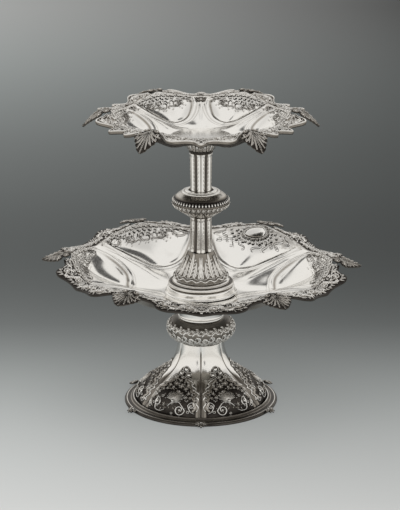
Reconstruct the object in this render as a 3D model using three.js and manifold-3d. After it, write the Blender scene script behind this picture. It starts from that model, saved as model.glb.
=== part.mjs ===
// Two-tier silver table centrepiece: a footed lower bowl, and a stem with an upper dish that lifts off it.
// Millimetres, +Z up, origin at the centre of the foot, on the table. A lobe of each bowl points along +X.
import * as THREE from 'three';
import { mergeVertices } from 'three/addons/utils/BufferGeometryUtils.js';
import Module from 'manifold-3d';

// Sheet, seams and shared sizes
const LOBES = 6;
const WALL = 1.4;
const SEAM = 0.3;
const ROUND_SIDES = 24;
const LOBED_SIDES = 48;
const CHASED_SIDES = 72;

// Foot: rim moulding, its six bosses and the lobed dome
const RIM_WIDTH = 17.7;
const RIM_UNDER_DOME = 1.7;
const RIM_HEIGHT = 7.4;
const RIM_LEDGE_HEIGHT = 6;
const RIM_LEDGE_WIDTH = 3.2;
const BOSS_LENGTH = 7.6;
const BOSS_WIDTH = 15;
const BOSS_HEIGHT = 5;
const BOSS_LIFT = 0.6;
const DOME_BASE_R = 86;
const DOME_NECK_R = 30;
const DOME_HEIGHT = 78.8;
const PANEL_RELIEF = 1.6;
const PANEL_TOP = 0.55;
const PANEL_EDGE = 0.66;
const PANEL_CREST = 0.4;
const PANEL_MIDDLE = 0.2;

// Knop and collet between foot and bowl
const KNOP_R = 45.2;
const KNOP_LOWER_HEIGHT = 17.5;
const KNOP_UPPER_HEIGHT = 13.6;
const KNOP_TOP_R = 27.5;
const COLLET_STEP = 2;
const COLLET_FLANGE_WIDTH = 4.5;
const COLLET_HEIGHT = 33.6;

// Lower bowl, its seat for the stem and its cast border
const BOWL_FLOOR_MARGIN = 0.6;
const BOWL_LOBE_RISE = 48;
const BOWL_VALLEY_RISE = 33.4;
const BOWL_LOBE_EDGE_R = 172;
const BOWL_VALLEY_EDGE_R = 163;
const SEAT_MARGIN = 1.6;
const SEAT_FLANGE_WIDTH = 2.4;
const SEAT_HEIGHT = 9.3;
const LOWER_RIM_SWEEP = 1.2;
const LOWER_BORDER_WIDTH = 22;
const LOWER_BORDER_LOBE_DROP = 2.5;
const LOWER_BORDER_VALLEY_DROP = 4;
const LOWER_BORDER_RELIEF = 2.4;
const SCROLL_DEGREES = 11;
const SCROLL_MIDDLE = 0.52;
const SCROLL_SWING = 0.26;
const SCROLL_WIDTH = 0.17;
const LOWER_FLOWER = 2;
const LOWER_ARC = 7.5;
const LOWER_ARC_DEGREES = 14;
const LOWER_ARC_SPREAD = 4.5;
const LOWER_NOTCH = 11;
const LOWER_NOTCH_DEGREES = 18.5;
const LOWER_LEAF_LENGTH = 39;
const LOWER_LEAF_HALF_WIDTH = 21;
const LOWER_LEAF_CROWN = 1;
const LOWER_LEAF_DROOP = 9;
const LOWER_LEAF_CURL = 1.2;

// Stem, from its foot ring to the capital under the dish
const STEM_FOOT_R = 38.3;
const FOOT_RING_PROUD = 5.1;
const FOOT_RING_HEIGHT = 5.3;
const STEM_FOOT_HEIGHT = 41.1;
const LOWER_STEM_R = 15.8;
const LOWER_STEM_TOP_R = 14.2;
const LOWER_STEM_HEIGHT = 46.8;
const CALYX_R = 33.8;
const CALYX_HEIGHT = 13.1;
const COLLAR_R = 37.5;
const COLLAR_LOWER_HEIGHT = 7.2;
const COLLAR_UPPER_HEIGHT = 15.2;
const COLLAR_MOUTH_CLEARANCE = 2.7;
const COLLAR_MOUTH_DEPTH = 3;
const UPPER_STEM_R = 14.3;
const UPPER_STEM_HEIGHT = 53;
const RIB_DEPTH = 2.6;
const STEM_WALL = 2;
const CAPITAL_R = 17.6;
const CAPITAL_TOP_R = 24;
const CAPITAL_HEIGHT = 19.3;

// Upper dish and its cast border
const DISH_FLOOR_R = 40;
const DISH_LOBE_RISE = 34.4;
const DISH_VALLEY_RISE = 25.4;
const DISH_LOBE_EDGE_R = 117;
const DISH_VALLEY_EDGE_R = 110;
const UPPER_RIM_SWEEP = 1.8;
const UPPER_BORDER_WIDTH = 10.5;
const UPPER_BORDER_LOBE_DROP = 2;
const UPPER_BORDER_VALLEY_DROP = 4;
const UPPER_FLOWER = 15;
const UPPER_ARC = 16;
const UPPER_ARC_DEGREES = 16.5;
const UPPER_ARC_SPREAD = 6;
const UPPER_NOTCH = 5;
const UPPER_NOTCH_DEGREES = 20.5;
const UPPER_LEAF_LENGTH = 36;
const UPPER_LEAF_HALF_WIDTH = 19;
const UPPER_LEAF_CROWN = 2;
const UPPER_LEAF_DROOP = 22.5;
const UPPER_LEAF_CURL = 2;

// Border sections and leaves: thickness, raised edges, and the angle that each leaf's root takes of the rim
const BORDER_THICKNESS = 3;
const BORDER_CREST = 0.8;
const BORDER_EDGE_WIRE = 0.5;
const FLOWER_SPREAD = 3.3;
const NOTCH_SPREAD = 1.5;
const LEAF_THICKNESS = 2.2;
const LEAF_ROOT_DEGREES = 4.5;
const LEAF_CLEARANCE = 2.2;

// Fastening: one rod from the dish to a wing nut inside the foot
const ROD_R = 4;
const ROD_CLEARANCE = 2;
const ROD_END_PROUD = 1;
const DISH_BOSS_R = 10;
const ROD_SOCKET_LENGTH = 14;
const ROD_ENGAGEMENT = 10;
const PLATE_THICKNESS = 2.5;
const PLATE_BELOW_NECK = 3;
const PLATE_HOLE_CLEARANCE = 0.6;
const WASHER_R = 14;
const WASHER_THICKNESS = 2;
const NUT_R = 7.5;
const NUT_HEIGHT = 8;
const NUT_BORE_CLEARANCE = 0.3;
const WING_SPAN = 19;
const WING_THICKNESS = 3;
const WING_DROP = 7;

// Radii of pieces that stand on, in or round each other
const rimInnerR = DOME_BASE_R - RIM_UNDER_DOME;
const rimOuterR = rimInnerR + RIM_WIDTH;
const colletR = KNOP_TOP_R + COLLET_STEP;
const colletFlangeR = colletR + COLLET_FLANGE_WIDTH;
const footRingR = STEM_FOOT_R + FOOT_RING_PROUD;
const seatR = footRingR + SEAT_MARGIN;
const seatFlangeR = seatR + SEAT_FLANGE_WIDTH;
const bowlFloorR = seatFlangeR + BOWL_FLOOR_MARGIN;
const lowerStemBoreR = LOWER_STEM_TOP_R - RIB_DEPTH - STEM_WALL;
const upperStemBoreR = UPPER_STEM_R - RIB_DEPTH - STEM_WALL;
const collarMouthR = UPPER_STEM_R + COLLAR_MOUTH_CLEARANCE;

// Heights, each piece standing on the one below with a seam between
const domeBase = RIM_LEDGE_HEIGHT + SEAM;
const domeTop = domeBase + DOME_HEIGHT;
const knopBase = domeTop + SEAM;
const knopSeam = knopBase + KNOP_LOWER_HEIGHT;
const knopTop = knopSeam + SEAM + KNOP_UPPER_HEIGHT;
const colletBase = knopTop + SEAM;
const colletTop = colletBase + COLLET_HEIGHT;
const bowlFloor = colletTop + SEAM + WALL;
const seatBase = bowlFloor + SEAM;
const seatTop = seatBase + SEAT_HEIGHT;
const ringBase = seatTop + SEAM;
const ringTop = ringBase + FOOT_RING_HEIGHT;
const stemFootBase = ringTop + SEAM;
const stemFootTop = stemFootBase + STEM_FOOT_HEIGHT;
const lowerStemBase = stemFootTop + SEAM;
const lowerStemTop = lowerStemBase + LOWER_STEM_HEIGHT;
const calyxBase = lowerStemTop + SEAM;
const calyxTop = calyxBase + CALYX_HEIGHT;
const collarBase = calyxTop + SEAM;
const collarSeam = collarBase + COLLAR_LOWER_HEIGHT;
const collarTop = collarSeam + SEAM + COLLAR_UPPER_HEIGHT;
const upperStemBase = collarTop - COLLAR_MOUTH_DEPTH + SEAM;
const upperStemTop = upperStemBase + UPPER_STEM_HEIGHT;
const capitalBase = upperStemTop + SEAM;
const capitalTop = capitalBase + CAPITAL_HEIGHT;
const dishFloor = capitalTop + SEAM + WALL;
const plateTop = domeTop - PLATE_BELOW_NECK;
const plateBase = plateTop - PLATE_THICKNESS;
const washerBase = plateBase - SEAM - WASHER_THICKNESS;
const nutTop = washerBase - SEAM;
const nutBase = nutTop - NUT_HEIGHT;
const rodEnd = nutBase - ROD_END_PROUD;
const bossTop = capitalTop;
const bossBase = bossTop - ROD_SOCKET_LENGTH;

// Finishes
const polished = { color: 0xd9d6cc, roughness: 0.16, metalness: 1 };
const chased = { color: 0xb9b5aa, roughness: 0.3, metalness: 1 };
const cast = { color: 0x9f9b90, roughness: 0.34, metalness: 1 };
const steel = { color: 0x8c8c88, roughness: 0.45, metalness: 1 };

const wasm = await Module();
wasm.setup();

const centrepiece = new THREE.Group();

function addPiece(name, geometry, finish) {
  const piece = new THREE.Mesh(geometry, new THREE.MeshStandardMaterial(finish));
  piece.name = name;
  centrepiece.add(piece);
  return piece;
}

// Angles: 0 at a lobe's middle, 1 in the valley between two lobes
const LOBE_ANGLE = (2 * Math.PI) / LOBES;

function valleyShare(angle) {
  const turns = angle / LOBE_ANGLE;
  return 2 * Math.abs(turns - Math.round(turns));
}

function bell(x, centre, width) {
  return Math.exp(-(((x - centre) / width) ** 2));
}

function mix(a, b, share) {
  return a + (b - a) * share;
}

// Curve through points given as shares of the way from one corner to the other
function profile(from, to, shares) {
  const points = shares.map(([u, v]) => new THREE.Vector2(mix(from[0], to[0], u), mix(from[1], to[1], v)));
  return new THREE.SplineCurve(points);
}

// Closed faceted solid from flat coordinates and triangles, turned to face outwards
function solid(positions, indices) {
  let volume = 0;
  const a = new THREE.Vector3();
  const b = new THREE.Vector3();
  const c = new THREE.Vector3();
  for (let i = 0; i < indices.length; i += 3) {
    a.fromArray(positions, 3 * indices[i]);
    b.fromArray(positions, 3 * indices[i + 1]);
    c.fromArray(positions, 3 * indices[i + 2]);
    volume += a.dot(b.cross(c));
  }
  const geometry = new THREE.BufferGeometry();
  geometry.setAttribute('position', new THREE.Float32BufferAttribute(positions, 3));
  geometry.setIndex(volume > 0 ? indices : indices.reverse());
  geometry.computeVertexNormals();
  return geometry;
}

// Boolean joins and cuts of closed geometries
function block(geometry) {
  const bare = geometry.clone();
  bare.deleteAttribute('normal');
  bare.deleteAttribute('uv');
  const merged = mergeVertices(bare, 1e-4);
  const vertProperties = new Float32Array(merged.attributes.position.array);
  const triVerts = new Uint32Array(merged.index.array);
  return new wasm.Manifold(new wasm.Mesh({ numProp: 3, vertProperties, triVerts }));
}

function unblock(manifold) {
  const mesh = manifold.getMesh();
  return solid(Array.from(mesh.vertProperties), Array.from(mesh.triVerts));
}

function join(first, second) {
  return unblock(block(first).add(block(second)));
}

function cut(body, tool) {
  return unblock(block(body).subtract(block(tool)));
}

function atAngle([r, z], angle) {
  return [r * Math.cos(angle), r * Math.sin(angle), z];
}

// Skin all the way round: loopAt(angle) gives the closed section there as [radius, height] points
function roundSkin(loopAt, sides) {
  const positions = [];
  const indices = [];
  const count = loopAt(0).length;
  for (let i = 0; i < sides; i += 1) {
    const angle = (i / sides) * 2 * Math.PI;
    loopAt(angle).forEach((point) => positions.push(...atAngle(point, angle)));
  }
  for (let i = 0; i < sides; i += 1) {
    const here = i * count;
    const next = ((i + 1) % sides) * count;
    for (let k = 0; k < count; k += 1) {
      const up = (k + 1) % count;
      indices.push(here + k, next + k, next + up, here + k, next + up, here + up);
    }
  }
  return solid(positions, indices);
}

// Same, for a loop whose first and last points lie on the axis
function poleSkin(loopAt, sides) {
  const first = loopAt(0)[0];
  const last = loopAt(0).at(-1);
  const positions = [0, 0, first[1], 0, 0, last[1]];
  const indices = [];
  const count = loopAt(0).length - 2;
  for (let i = 0; i < sides; i += 1) {
    const angle = (i / sides) * 2 * Math.PI;
    loopAt(angle).slice(1, -1).forEach((point) => positions.push(...atAngle(point, angle)));
  }
  for (let i = 0; i < sides; i += 1) {
    const here = 2 + i * count;
    const next = 2 + ((i + 1) % sides) * count;
    indices.push(0, next, here, 1, here + count - 1, next + count - 1);
    for (let k = 0; k + 1 < count; k += 1) {
      indices.push(here + k, next + k, next + k + 1, here + k, next + k + 1, here + k + 1);
    }
  }
  return solid(positions, indices);
}

// Bar between capped ends: each section is a closed list of [x, y, z] points
function cappedBar(sections, flat) {
  const positions = sections.flat(2);
  const indices = [];
  const count = sections[0].length;
  const last = (sections.length - 1) * count;
  for (let i = 0; i + 1 < sections.length; i += 1) {
    for (let k = 0; k < count; k += 1) {
      const up = (k + 1) % count;
      const here = i * count;
      const next = here + count;
      indices.push(here + k, next + k, next + up, here + k, next + up, here + up);
    }
  }
  THREE.ShapeUtils.triangulateShape(flat, []).forEach(([a, b, c]) => {
    indices.push(c, b, a, last + a, last + b, last + c);
  });
  return solid(positions, indices);
}

// Sheet wall: the outline's points, and the same points moved over by the wall, as one closed loop.
// Level ends are cut off flat where the sheet stands on its neighbour, plumb ends where it meets one at its side.
function sheetLoop(outline, wall, ends) {
  const last = outline.length - 1;
  const moved = outline.map(([r, z], k) => {
    const before = outline[Math.max(k - 1, 0)];
    const after = outline[Math.min(k + 1, last)];
    const run = after[0] - before[0];
    const rise = after[1] - before[1];
    const length = Math.hypot(run, rise);
    if (k > 0 && k < last) {
      return [r + (wall * rise) / length, z - (wall * run) / length];
    }
    return ends === 'level' ? [r + wall, z] : [r, z - wall];
  });
  return [...outline, ...moved.reverse()];
}

function turned(loop) {
  return roundSkin(() => loop, ROUND_SIDES);
}

function spun(curve, steps) {
  return turned(sheetLoop(curve.getPoints(steps).map((p) => [p.x, p.y]), -WALL, 'level'));
}

// Foot
function rimMoulding() {
  const ledgeR = rimInnerR + RIM_LEDGE_WIDTH;
  const width = rimOuterR - ledgeR;
  const loop = [
    [rimInnerR, 0],
    [rimOuterR - 0.1 * width, 0],
    [rimOuterR, 0.2 * RIM_HEIGHT],
    [rimOuterR - 0.06 * width, 0.46 * RIM_HEIGHT],
    [rimOuterR - 0.32 * width, 0.56 * RIM_HEIGHT],
    [rimOuterR - 0.5 * width, 0.84 * RIM_HEIGHT],
    [rimOuterR - 0.78 * width, RIM_HEIGHT],
    [ledgeR, RIM_LEDGE_HEIGHT],
    [rimInnerR, RIM_LEDGE_HEIGHT],
  ];
  return roundSkin(() => loop, LOBED_SIDES);
}

function rimBoss(angle) {
  const half = BOSS_WIDTH / 2;
  const foot = rimOuterR + SEAM;
  const tip = foot + BOSS_LENGTH;
  const shape = new THREE.Shape();
  shape.moveTo(foot, -half);
  shape.bezierCurveTo(foot + 0.5 * BOSS_LENGTH, -half, foot + 0.3 * BOSS_LENGTH, -0.2 * half, tip, -0.16 * half);
  shape.lineTo(tip, 0.16 * half);
  shape.bezierCurveTo(foot + 0.3 * BOSS_LENGTH, 0.2 * half, foot + 0.5 * BOSS_LENGTH, half, foot, half);
  const geometry = new THREE.ExtrudeGeometry(shape, { depth: BOSS_HEIGHT, bevelEnabled: false, curveSegments: 5 });
  geometry.translate(0, 0, BOSS_LIFT);
  return geometry.rotateZ(angle);
}

// Lobe middle and valley of the dome, as shares of the way in from its base and up to its neck
const domeLobe = profile([DOME_BASE_R, domeBase], [DOME_NECK_R, domeTop], [
  [0, 0], [0.012, 0.1], [0.075, 0.2], [0.225, 0.3], [0.49, 0.41], [0.715, 0.51], [0.825, 0.6], [0.935, 0.78], [1, 1],
]);
const domeValley = profile([DOME_BASE_R, domeBase], [DOME_NECK_R, domeTop], [
  [0, 0], [0.14, 0.1], [0.27, 0.2], [0.38, 0.3], [0.54, 0.41], [0.73, 0.51], [0.87, 0.63], [0.965, 0.78], [1, 1],
]);

// Chasing of a lobe's panel: a rib beside each groove, a crest across its top and a cartouche in its middle
function panelRelief(share, across) {
  const fade = Math.sin(Math.PI * Math.min(1, share / PANEL_TOP));
  const rib = fade * bell(across, PANEL_EDGE, 0.13);
  const crest = bell(share, PANEL_CREST, 0.06) * bell(across, 0, 0.5);
  const cartouche = fade * bell(share, PANEL_MIDDLE, 0.09) * bell(across, 0, 0.3);
  return PANEL_RELIEF * Math.max(rib, crest, cartouche);
}

function footDome() {
  const steps = 10;
  const loopAt = (angle) => {
    const across = valleyShare(angle);
    const outline = [];
    for (let k = 0; k <= steps; k += 1) {
      const share = k / steps;
      const lobe = domeLobe.getPoint(share);
      const valley = domeValley.getPoint(share);
      const slope = domeLobe.getTangent(share);
      const lift = panelRelief(share, across);
      outline.push([
        mix(lobe.x, valley.x, across ** 2) + lift * slope.y,
        mix(lobe.y, valley.y, across ** 2) - lift * slope.x,
      ]);
    }
    return sheetLoop(outline, -WALL, 'level');
  };
  return roundSkin(loopAt, CHASED_SIDES);
}

// Knop and collet
function knopLower() {
  const curve = profile([DOME_NECK_R, knopBase], [KNOP_R, knopSeam], [[0, 0], [0.3, 0.18], [0.75, 0.5], [1, 1]]);
  return spun(curve, 4);
}

function knopUpper() {
  const curve = profile([KNOP_R, knopSeam + SEAM], [KNOP_TOP_R, knopTop], [[0, 0], [0.12, 0.45], [0.55, 0.86], [1, 1]]);
  return spun(curve, 4);
}

function bowlCollet() {
  const flangeDrop = colletFlangeR - colletR;
  return turned([
    [colletR, colletBase],
    [colletR, colletTop - flangeDrop],
    [colletFlangeR, colletTop],
    [colletR - WALL, colletTop],
    [KNOP_TOP_R - WALL, colletBase],
  ]);
}

// A bowl's sheet: lobe and valley outlines from its flat floor to its edge, and how they mix between
function bowlShape({ floorR, floor, lobeEdge, valleyEdge, sweep }) {
  const lobe = profile([floorR, floor], lobeEdge, [
    [0, 0], [0.17, 0.02], [0.42, 0.12], [0.7, 0.4], [0.88, 0.74], [1, 1],
  ]);
  const valley = profile([floorR, floor], valleyEdge, [
    [0, 0], [0.17, 0.16], [0.42, 0.45], [0.7, 0.76], [0.88, 0.93], [1, 1],
  ]);
  return (share, angle) => {
    const across = valleyShare(angle);
    const inside = 0.5 - 0.5 * Math.cos(Math.PI * across);
    const rim = 1 - (1 - across) ** sweep;
    const weight = mix(inside, rim, share * share);
    const p = lobe.getPoint(share);
    const q = valley.getPoint(share);
    return [mix(p.x, q.x, weight), mix(p.y, q.y, weight)];
  };
}

const bowlSurface = bowlShape({
  floorR: bowlFloorR,
  floor: bowlFloor,
  lobeEdge: [BOWL_LOBE_EDGE_R, bowlFloor + BOWL_LOBE_RISE],
  valleyEdge: [BOWL_VALLEY_EDGE_R, bowlFloor + BOWL_VALLEY_RISE],
  sweep: LOWER_RIM_SWEEP,
});
const dishSurface = bowlShape({
  floorR: DISH_FLOOR_R,
  floor: dishFloor,
  lobeEdge: [DISH_LOBE_EDGE_R, dishFloor + DISH_LOBE_RISE],
  valleyEdge: [DISH_VALLEY_EDGE_R, dishFloor + DISH_VALLEY_RISE],
  sweep: UPPER_RIM_SWEEP,
});

function bowlOutline(surface, steps, angle) {
  const outline = [];
  for (let k = 0; k <= steps; k += 1) {
    outline.push(surface(k / steps, angle));
  }
  return outline;
}

function lowerBowl() {
  const holeR = ROD_R + ROD_CLEARANCE;
  const loopAt = (angle) => {
    const outline = [[holeR, bowlFloor], ...bowlOutline(bowlSurface, 6, angle)];
    return sheetLoop(outline, WALL, 'plumb');
  };
  return roundSkin(loopAt, LOBED_SIDES);
}

function upperDish() {
  const loopAt = (angle) => {
    const outline = bowlOutline(dishSurface, 6, angle);
    return sheetLoop([[0, dishFloor], ...outline], WALL, 'plumb');
  };
  return poleSkin(loopAt, LOBED_SIDES);
}

function bowlSeat() {
  const holeR = ROD_R + ROD_CLEARANCE;
  return turned([
    [holeR, seatTop],
    [seatR - 1, seatTop],
    [seatR, seatTop - 1],
    [seatR + 0.4, seatBase + WALL],
    [seatFlangeR, seatBase + WALL],
    [seatFlangeR, seatBase],
    [seatR - WALL, seatBase],
    [seatR - WALL, seatTop - WALL],
    [holeR, seatTop - WALL],
  ]);
}

// Face of a border at an angle in degrees from the valley, as [share of its width, lift] pairs: the upper one
// has a crest near the sheet and an edge wire, the lower one a scroll that winds along it and a flower
function wiredFace() {
  return [[0.35, BORDER_CREST], [0.92, BORDER_EDGE_WIRE]];
}

function scrolledFace(degrees) {
  const middle = SCROLL_MIDDLE + SCROLL_SWING * Math.cos((2 * Math.PI * degrees) / SCROLL_DEGREES);
  return [0.16, 0.32, 0.48, 0.64, 0.8, 0.93].map((share) => {
    const scroll = bell(share, middle, SCROLL_WIDTH);
    const flower = bell(degrees, 0, FLOWER_SPREAD) * bell(share, SCROLL_MIDDLE, 0.3);
    return [share, Math.max(LOWER_BORDER_RELIEF * Math.max(scroll, flower), BORDER_EDGE_WIRE)];
  });
}

// A border from the sheet's edge out to the rim: a flower in each valley, an arc beside it ending in a
// volute, then a notch where the leaf springs. Angles along it are in degrees from the valley.
function borderShape(surface, size) {
  return (angle) => {
    const across = valleyShare(angle);
    const degrees = (1 - across) * THREE.MathUtils.radToDeg(LOBE_ANGLE / 2);
    const [edgeR, edgeZ] = surface(1, angle);
    const flower = size.flower * bell(degrees, 0, FLOWER_SPREAD);
    const arc = size.arc * bell(degrees, size.arcDegrees, size.arcSpread);
    const setBack = size.notch * (0.5 + 0.5 * Math.tanh((degrees - size.notchDegrees) / NOTCH_SPREAD));
    const drop = mix(size.lobeDrop, size.valleyDrop, across);
    return {
      innerR: edgeR + SEAM,
      innerZ: edgeZ,
      outerR: edgeR + size.width + flower + arc - setBack,
      outerZ: edgeZ - drop,
      lifts: size.face(degrees),
    };
  };
}

const lowerBorder = borderShape(bowlSurface, {
  width: LOWER_BORDER_WIDTH,
  lobeDrop: LOWER_BORDER_LOBE_DROP,
  valleyDrop: LOWER_BORDER_VALLEY_DROP,
  flower: LOWER_FLOWER,
  arc: LOWER_ARC,
  arcDegrees: LOWER_ARC_DEGREES,
  arcSpread: LOWER_ARC_SPREAD,
  notch: LOWER_NOTCH,
  notchDegrees: LOWER_NOTCH_DEGREES,
  face: scrolledFace,
});
const upperBorder = borderShape(dishSurface, {
  width: UPPER_BORDER_WIDTH,
  lobeDrop: UPPER_BORDER_LOBE_DROP,
  valleyDrop: UPPER_BORDER_VALLEY_DROP,
  flower: UPPER_FLOWER,
  arc: UPPER_ARC,
  arcDegrees: UPPER_ARC_DEGREES,
  arcSpread: UPPER_ARC_SPREAD,
  notch: UPPER_NOTCH,
  notchDegrees: UPPER_NOTCH_DEGREES,
  face: wiredFace,
});

// Section of a border at one angle: a flat back, and the face raised by its lifts
function borderLoop({ innerR, innerZ, outerR, outerZ, lifts }) {
  const up = BORDER_THICKNESS / 2;
  const at = (share, lift) => [mix(innerR, outerR, share), mix(innerZ, outerZ, share) + lift];
  const face = lifts.map(([share, lift]) => at(share, up + lift));
  return [at(0, -up), at(0, up), ...face, at(1, 0), at(0.9, -up)];
}

// Stations of a border section, as shares of its half length out from the valley
const wiredStations = [0.12, 0.24, 0.4, 0.55, 0.68, 0.8, 1];
const scrolledStations = Array.from({ length: 14 }, (_, k) => (k + 1) / 14);

function borderSection(border, valley, side) {
  const half = LOBE_ANGLE / 2 - THREE.MathUtils.degToRad(LEAF_ROOT_DEGREES) - SEAM / border(valley).outerR;
  const stations = [...side.map((share) => -share).reverse(), 0, ...side];
  const sections = stations.map((share) => {
    const angle = valley + share * half;
    return borderLoop(border(angle)).map((point) => atAngle(point, angle));
  });
  const flat = borderLoop(border(valley + half)).map(([r, z]) => new THREE.Vector2(r, z));
  return cappedBar(sections, flat);
}

// Palmette leaf between two border sections: rows from its root at the sheet to its tip
function leafRows(border, lobe, size) {
  const { innerR, innerZ, outerR } = border(lobe);
  const rootHalf = innerR * THREE.MathUtils.degToRad(LEAF_ROOT_DEGREES) - SEAM;
  const clear = (outerR + LEAF_CLEARANCE - innerR) / size.length;
  return [
    [0, rootHalf],
    [clear, rootHalf],
    [mix(clear, 1, 0.15), 0.95 * size.halfWidth],
    [mix(clear, 1, 0.45), size.halfWidth],
    [mix(clear, 1, 0.6), 0.7 * size.halfWidth],
    [mix(clear, 1, 0.85), 0.4 * size.halfWidth],
    [1, 0.12 * size.halfWidth],
  ].map(([along, half]) => {
    const crown = size.crown * Math.sin(Math.PI * Math.min(1, 1.4 * along));
    return { r: innerR + along * size.length, half, z: innerZ + crown - size.droop * along ** size.curl };
  });
}

function leaf(border, lobe, size) {
  const across = [-1, -0.5, 0, 0.5, 1];
  const folds = [-0.6, 0.2, 0.9, 0.2, -0.6];
  const rows = leafRows(border, lobe, size);
  const sections = rows.map(({ r, half, z }) => {
    const side = (lift) => across.map((share, k) => [r, share * half, z + (half > 6 ? folds[k] : 0) + lift]);
    return [...side(LEAF_THICKNESS / 2), ...side(-LEAF_THICKNESS / 2).reverse()];
  });
  const flat = sections[0].map(([, y, z]) => new THREE.Vector2(y, z));
  return cappedBar(sections, flat).rotateZ(lobe);
}

// Stem: tubes of six ribs, a ribbed section drawn in at each lobe's angle
function ribbed(radius, angle) {
  return radius - RIB_DEPTH * (1 - valleyShare(angle)) ** 2;
}

function ribbedTube(outline, bore) {
  const loopAt = (angle) => [
    ...outline.map(([r, z]) => [ribbed(r, angle), z]),
    [bore, outline.at(-1)[1]],
    [bore, outline[0][1]],
  ];
  return roundSkin(loopAt, 36);
}

function stemFootRing() {
  const middle = ringBase + FOOT_RING_HEIGHT / 2;
  const tube = FOOT_RING_HEIGHT / 2;
  return turned([
    [footRingR - tube, ringBase],
    [footRingR - 0.3 * tube, middle - 0.7 * tube],
    [footRingR, middle],
    [footRingR - 0.3 * tube, middle + 0.7 * tube],
    [footRingR - tube, ringTop],
    [STEM_FOOT_R - 2 * WALL, ringTop],
    [STEM_FOOT_R - 2 * WALL, ringBase],
  ]);
}

function stemFoot() {
  const curve = profile([STEM_FOOT_R, stemFootBase], [LOWER_STEM_R + 0.6, stemFootTop], [
    [0, 0], [0.05, 0.08], [0.14, 0.2], [0.32, 0.31], [0.58, 0.5], [0.81, 0.76], [1, 1],
  ]);
  return spun(curve, 7);
}

function lowerStem() {
  return ribbedTube([[LOWER_STEM_R, lowerStemBase], [LOWER_STEM_TOP_R, lowerStemTop]], lowerStemBoreR);
}

function collarCalyx() {
  const curve = profile([LOWER_STEM_TOP_R + 0.8, calyxBase], [CALYX_R, calyxTop], [[0, 0], [0.3, 0.4], [0.7, 0.75], [1, 1]]);
  return spun(curve, 4);
}

function collarLower() {
  const curve = profile([CALYX_R, collarBase], [COLLAR_R, collarSeam], [[0, 0], [0.6, 0.35], [1, 1]]);
  return spun(curve, 3);
}

function collarUpper() {
  const ledge = collarTop - COLLAR_MOUTH_DEPTH;
  const base = collarSeam + SEAM;
  const rise = collarTop - base;
  return turned([
    [COLLAR_R, base],
    [mix(COLLAR_R, collarMouthR, 0.2), base + 0.42 * rise],
    [mix(COLLAR_R, collarMouthR, 0.5), base + 0.8 * rise],
    [collarMouthR + 2, collarTop],
    [collarMouthR, collarTop],
    [collarMouthR, ledge],
    [upperStemBoreR, ledge],
    [upperStemBoreR, ledge - WALL],
    [mix(COLLAR_R, collarMouthR, 0.5) - WALL, ledge - WALL],
    [mix(COLLAR_R, collarMouthR, 0.2) - WALL, base + 0.36 * rise],
    [COLLAR_R - WALL, base],
  ]);
}

function upperStem() {
  const foot = UPPER_STEM_R - 0.2;
  return ribbedTube([
    [foot, upperStemBase],
    [UPPER_STEM_R, upperStemTop - 0.3 * UPPER_STEM_HEIGHT],
    [UPPER_STEM_R + 0.8, upperStemTop],
  ], upperStemBoreR);
}

function stemCapital() {
  const curve = profile([UPPER_STEM_R + 0.8, capitalBase], [CAPITAL_TOP_R, capitalTop], [
    [0, 0], [(CAPITAL_R - UPPER_STEM_R) / (CAPITAL_TOP_R - UPPER_STEM_R), 0.36], [0.55, 0.7], [1, 1],
  ]);
  return spun(curve, 4);
}

// Fastening
function dishBoss() {
  const bore = ROD_R + SEAM;
  const end = bossBase + ROD_ENGAGEMENT;
  const loop = [
    [0, bossTop],
    [DISH_BOSS_R, bossTop],
    [DISH_BOSS_R - 1, bossBase],
    [bore, bossBase],
    [bore, end],
    [0, end],
  ];
  return poleSkin(() => loop, ROUND_SIDES);
}

function tieRod() {
  const top = bossBase + ROD_ENGAGEMENT - SEAM;
  const rod = new THREE.CylinderGeometry(ROD_R, ROD_R, top - rodEnd, 16);
  rod.rotateX(Math.PI / 2);
  return rod.translate(0, 0, (top + rodEnd) / 2);
}

function clampPlate() {
  const plateR = DOME_NECK_R - WALL - 2 * SEAM;
  const holeR = ROD_R + PLATE_HOLE_CLEARANCE;
  return turned([[holeR, plateBase], [plateR, plateBase], [plateR, plateTop], [holeR, plateTop]]);
}

function clampWasher() {
  const holeR = ROD_R + PLATE_HOLE_CLEARANCE;
  const top = washerBase + WASHER_THICKNESS;
  return turned([[holeR, washerBase], [WASHER_R, washerBase], [WASHER_R, top], [holeR, top]]);
}

function wingNut() {
  const wings = new THREE.Shape();
  const low = nutBase - WING_DROP;
  wings.moveTo(-NUT_R, nutTop);
  wings.lineTo(NUT_R, nutTop);
  wings.lineTo(WING_SPAN, nutBase + 0.3 * NUT_HEIGHT);
  wings.lineTo(WING_SPAN, low);
  wings.lineTo(0.62 * WING_SPAN, low);
  wings.lineTo(NUT_R, nutBase);
  wings.lineTo(-NUT_R, nutBase);
  wings.lineTo(-0.62 * WING_SPAN, low);
  wings.lineTo(-WING_SPAN, low);
  wings.lineTo(-WING_SPAN, nutBase + 0.3 * NUT_HEIGHT);
  const plate = new THREE.ExtrudeGeometry(wings, { depth: WING_THICKNESS, bevelEnabled: false });
  plate.translate(0, 0, -WING_THICKNESS / 2);
  plate.rotateX(Math.PI / 2);
  const hub = new THREE.CylinderGeometry(NUT_R, NUT_R + 1, NUT_HEIGHT, 16).rotateX(Math.PI / 2);
  hub.translate(0, 0, nutBase + NUT_HEIGHT / 2);
  const bore = new THREE.CylinderGeometry(ROD_R + NUT_BORE_CLEARANCE, ROD_R + NUT_BORE_CLEARANCE, 4 * NUT_HEIGHT, 16);
  bore.rotateX(Math.PI / 2).translate(0, 0, nutBase);
  return cut(join(plate, hub), bore);
}

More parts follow.
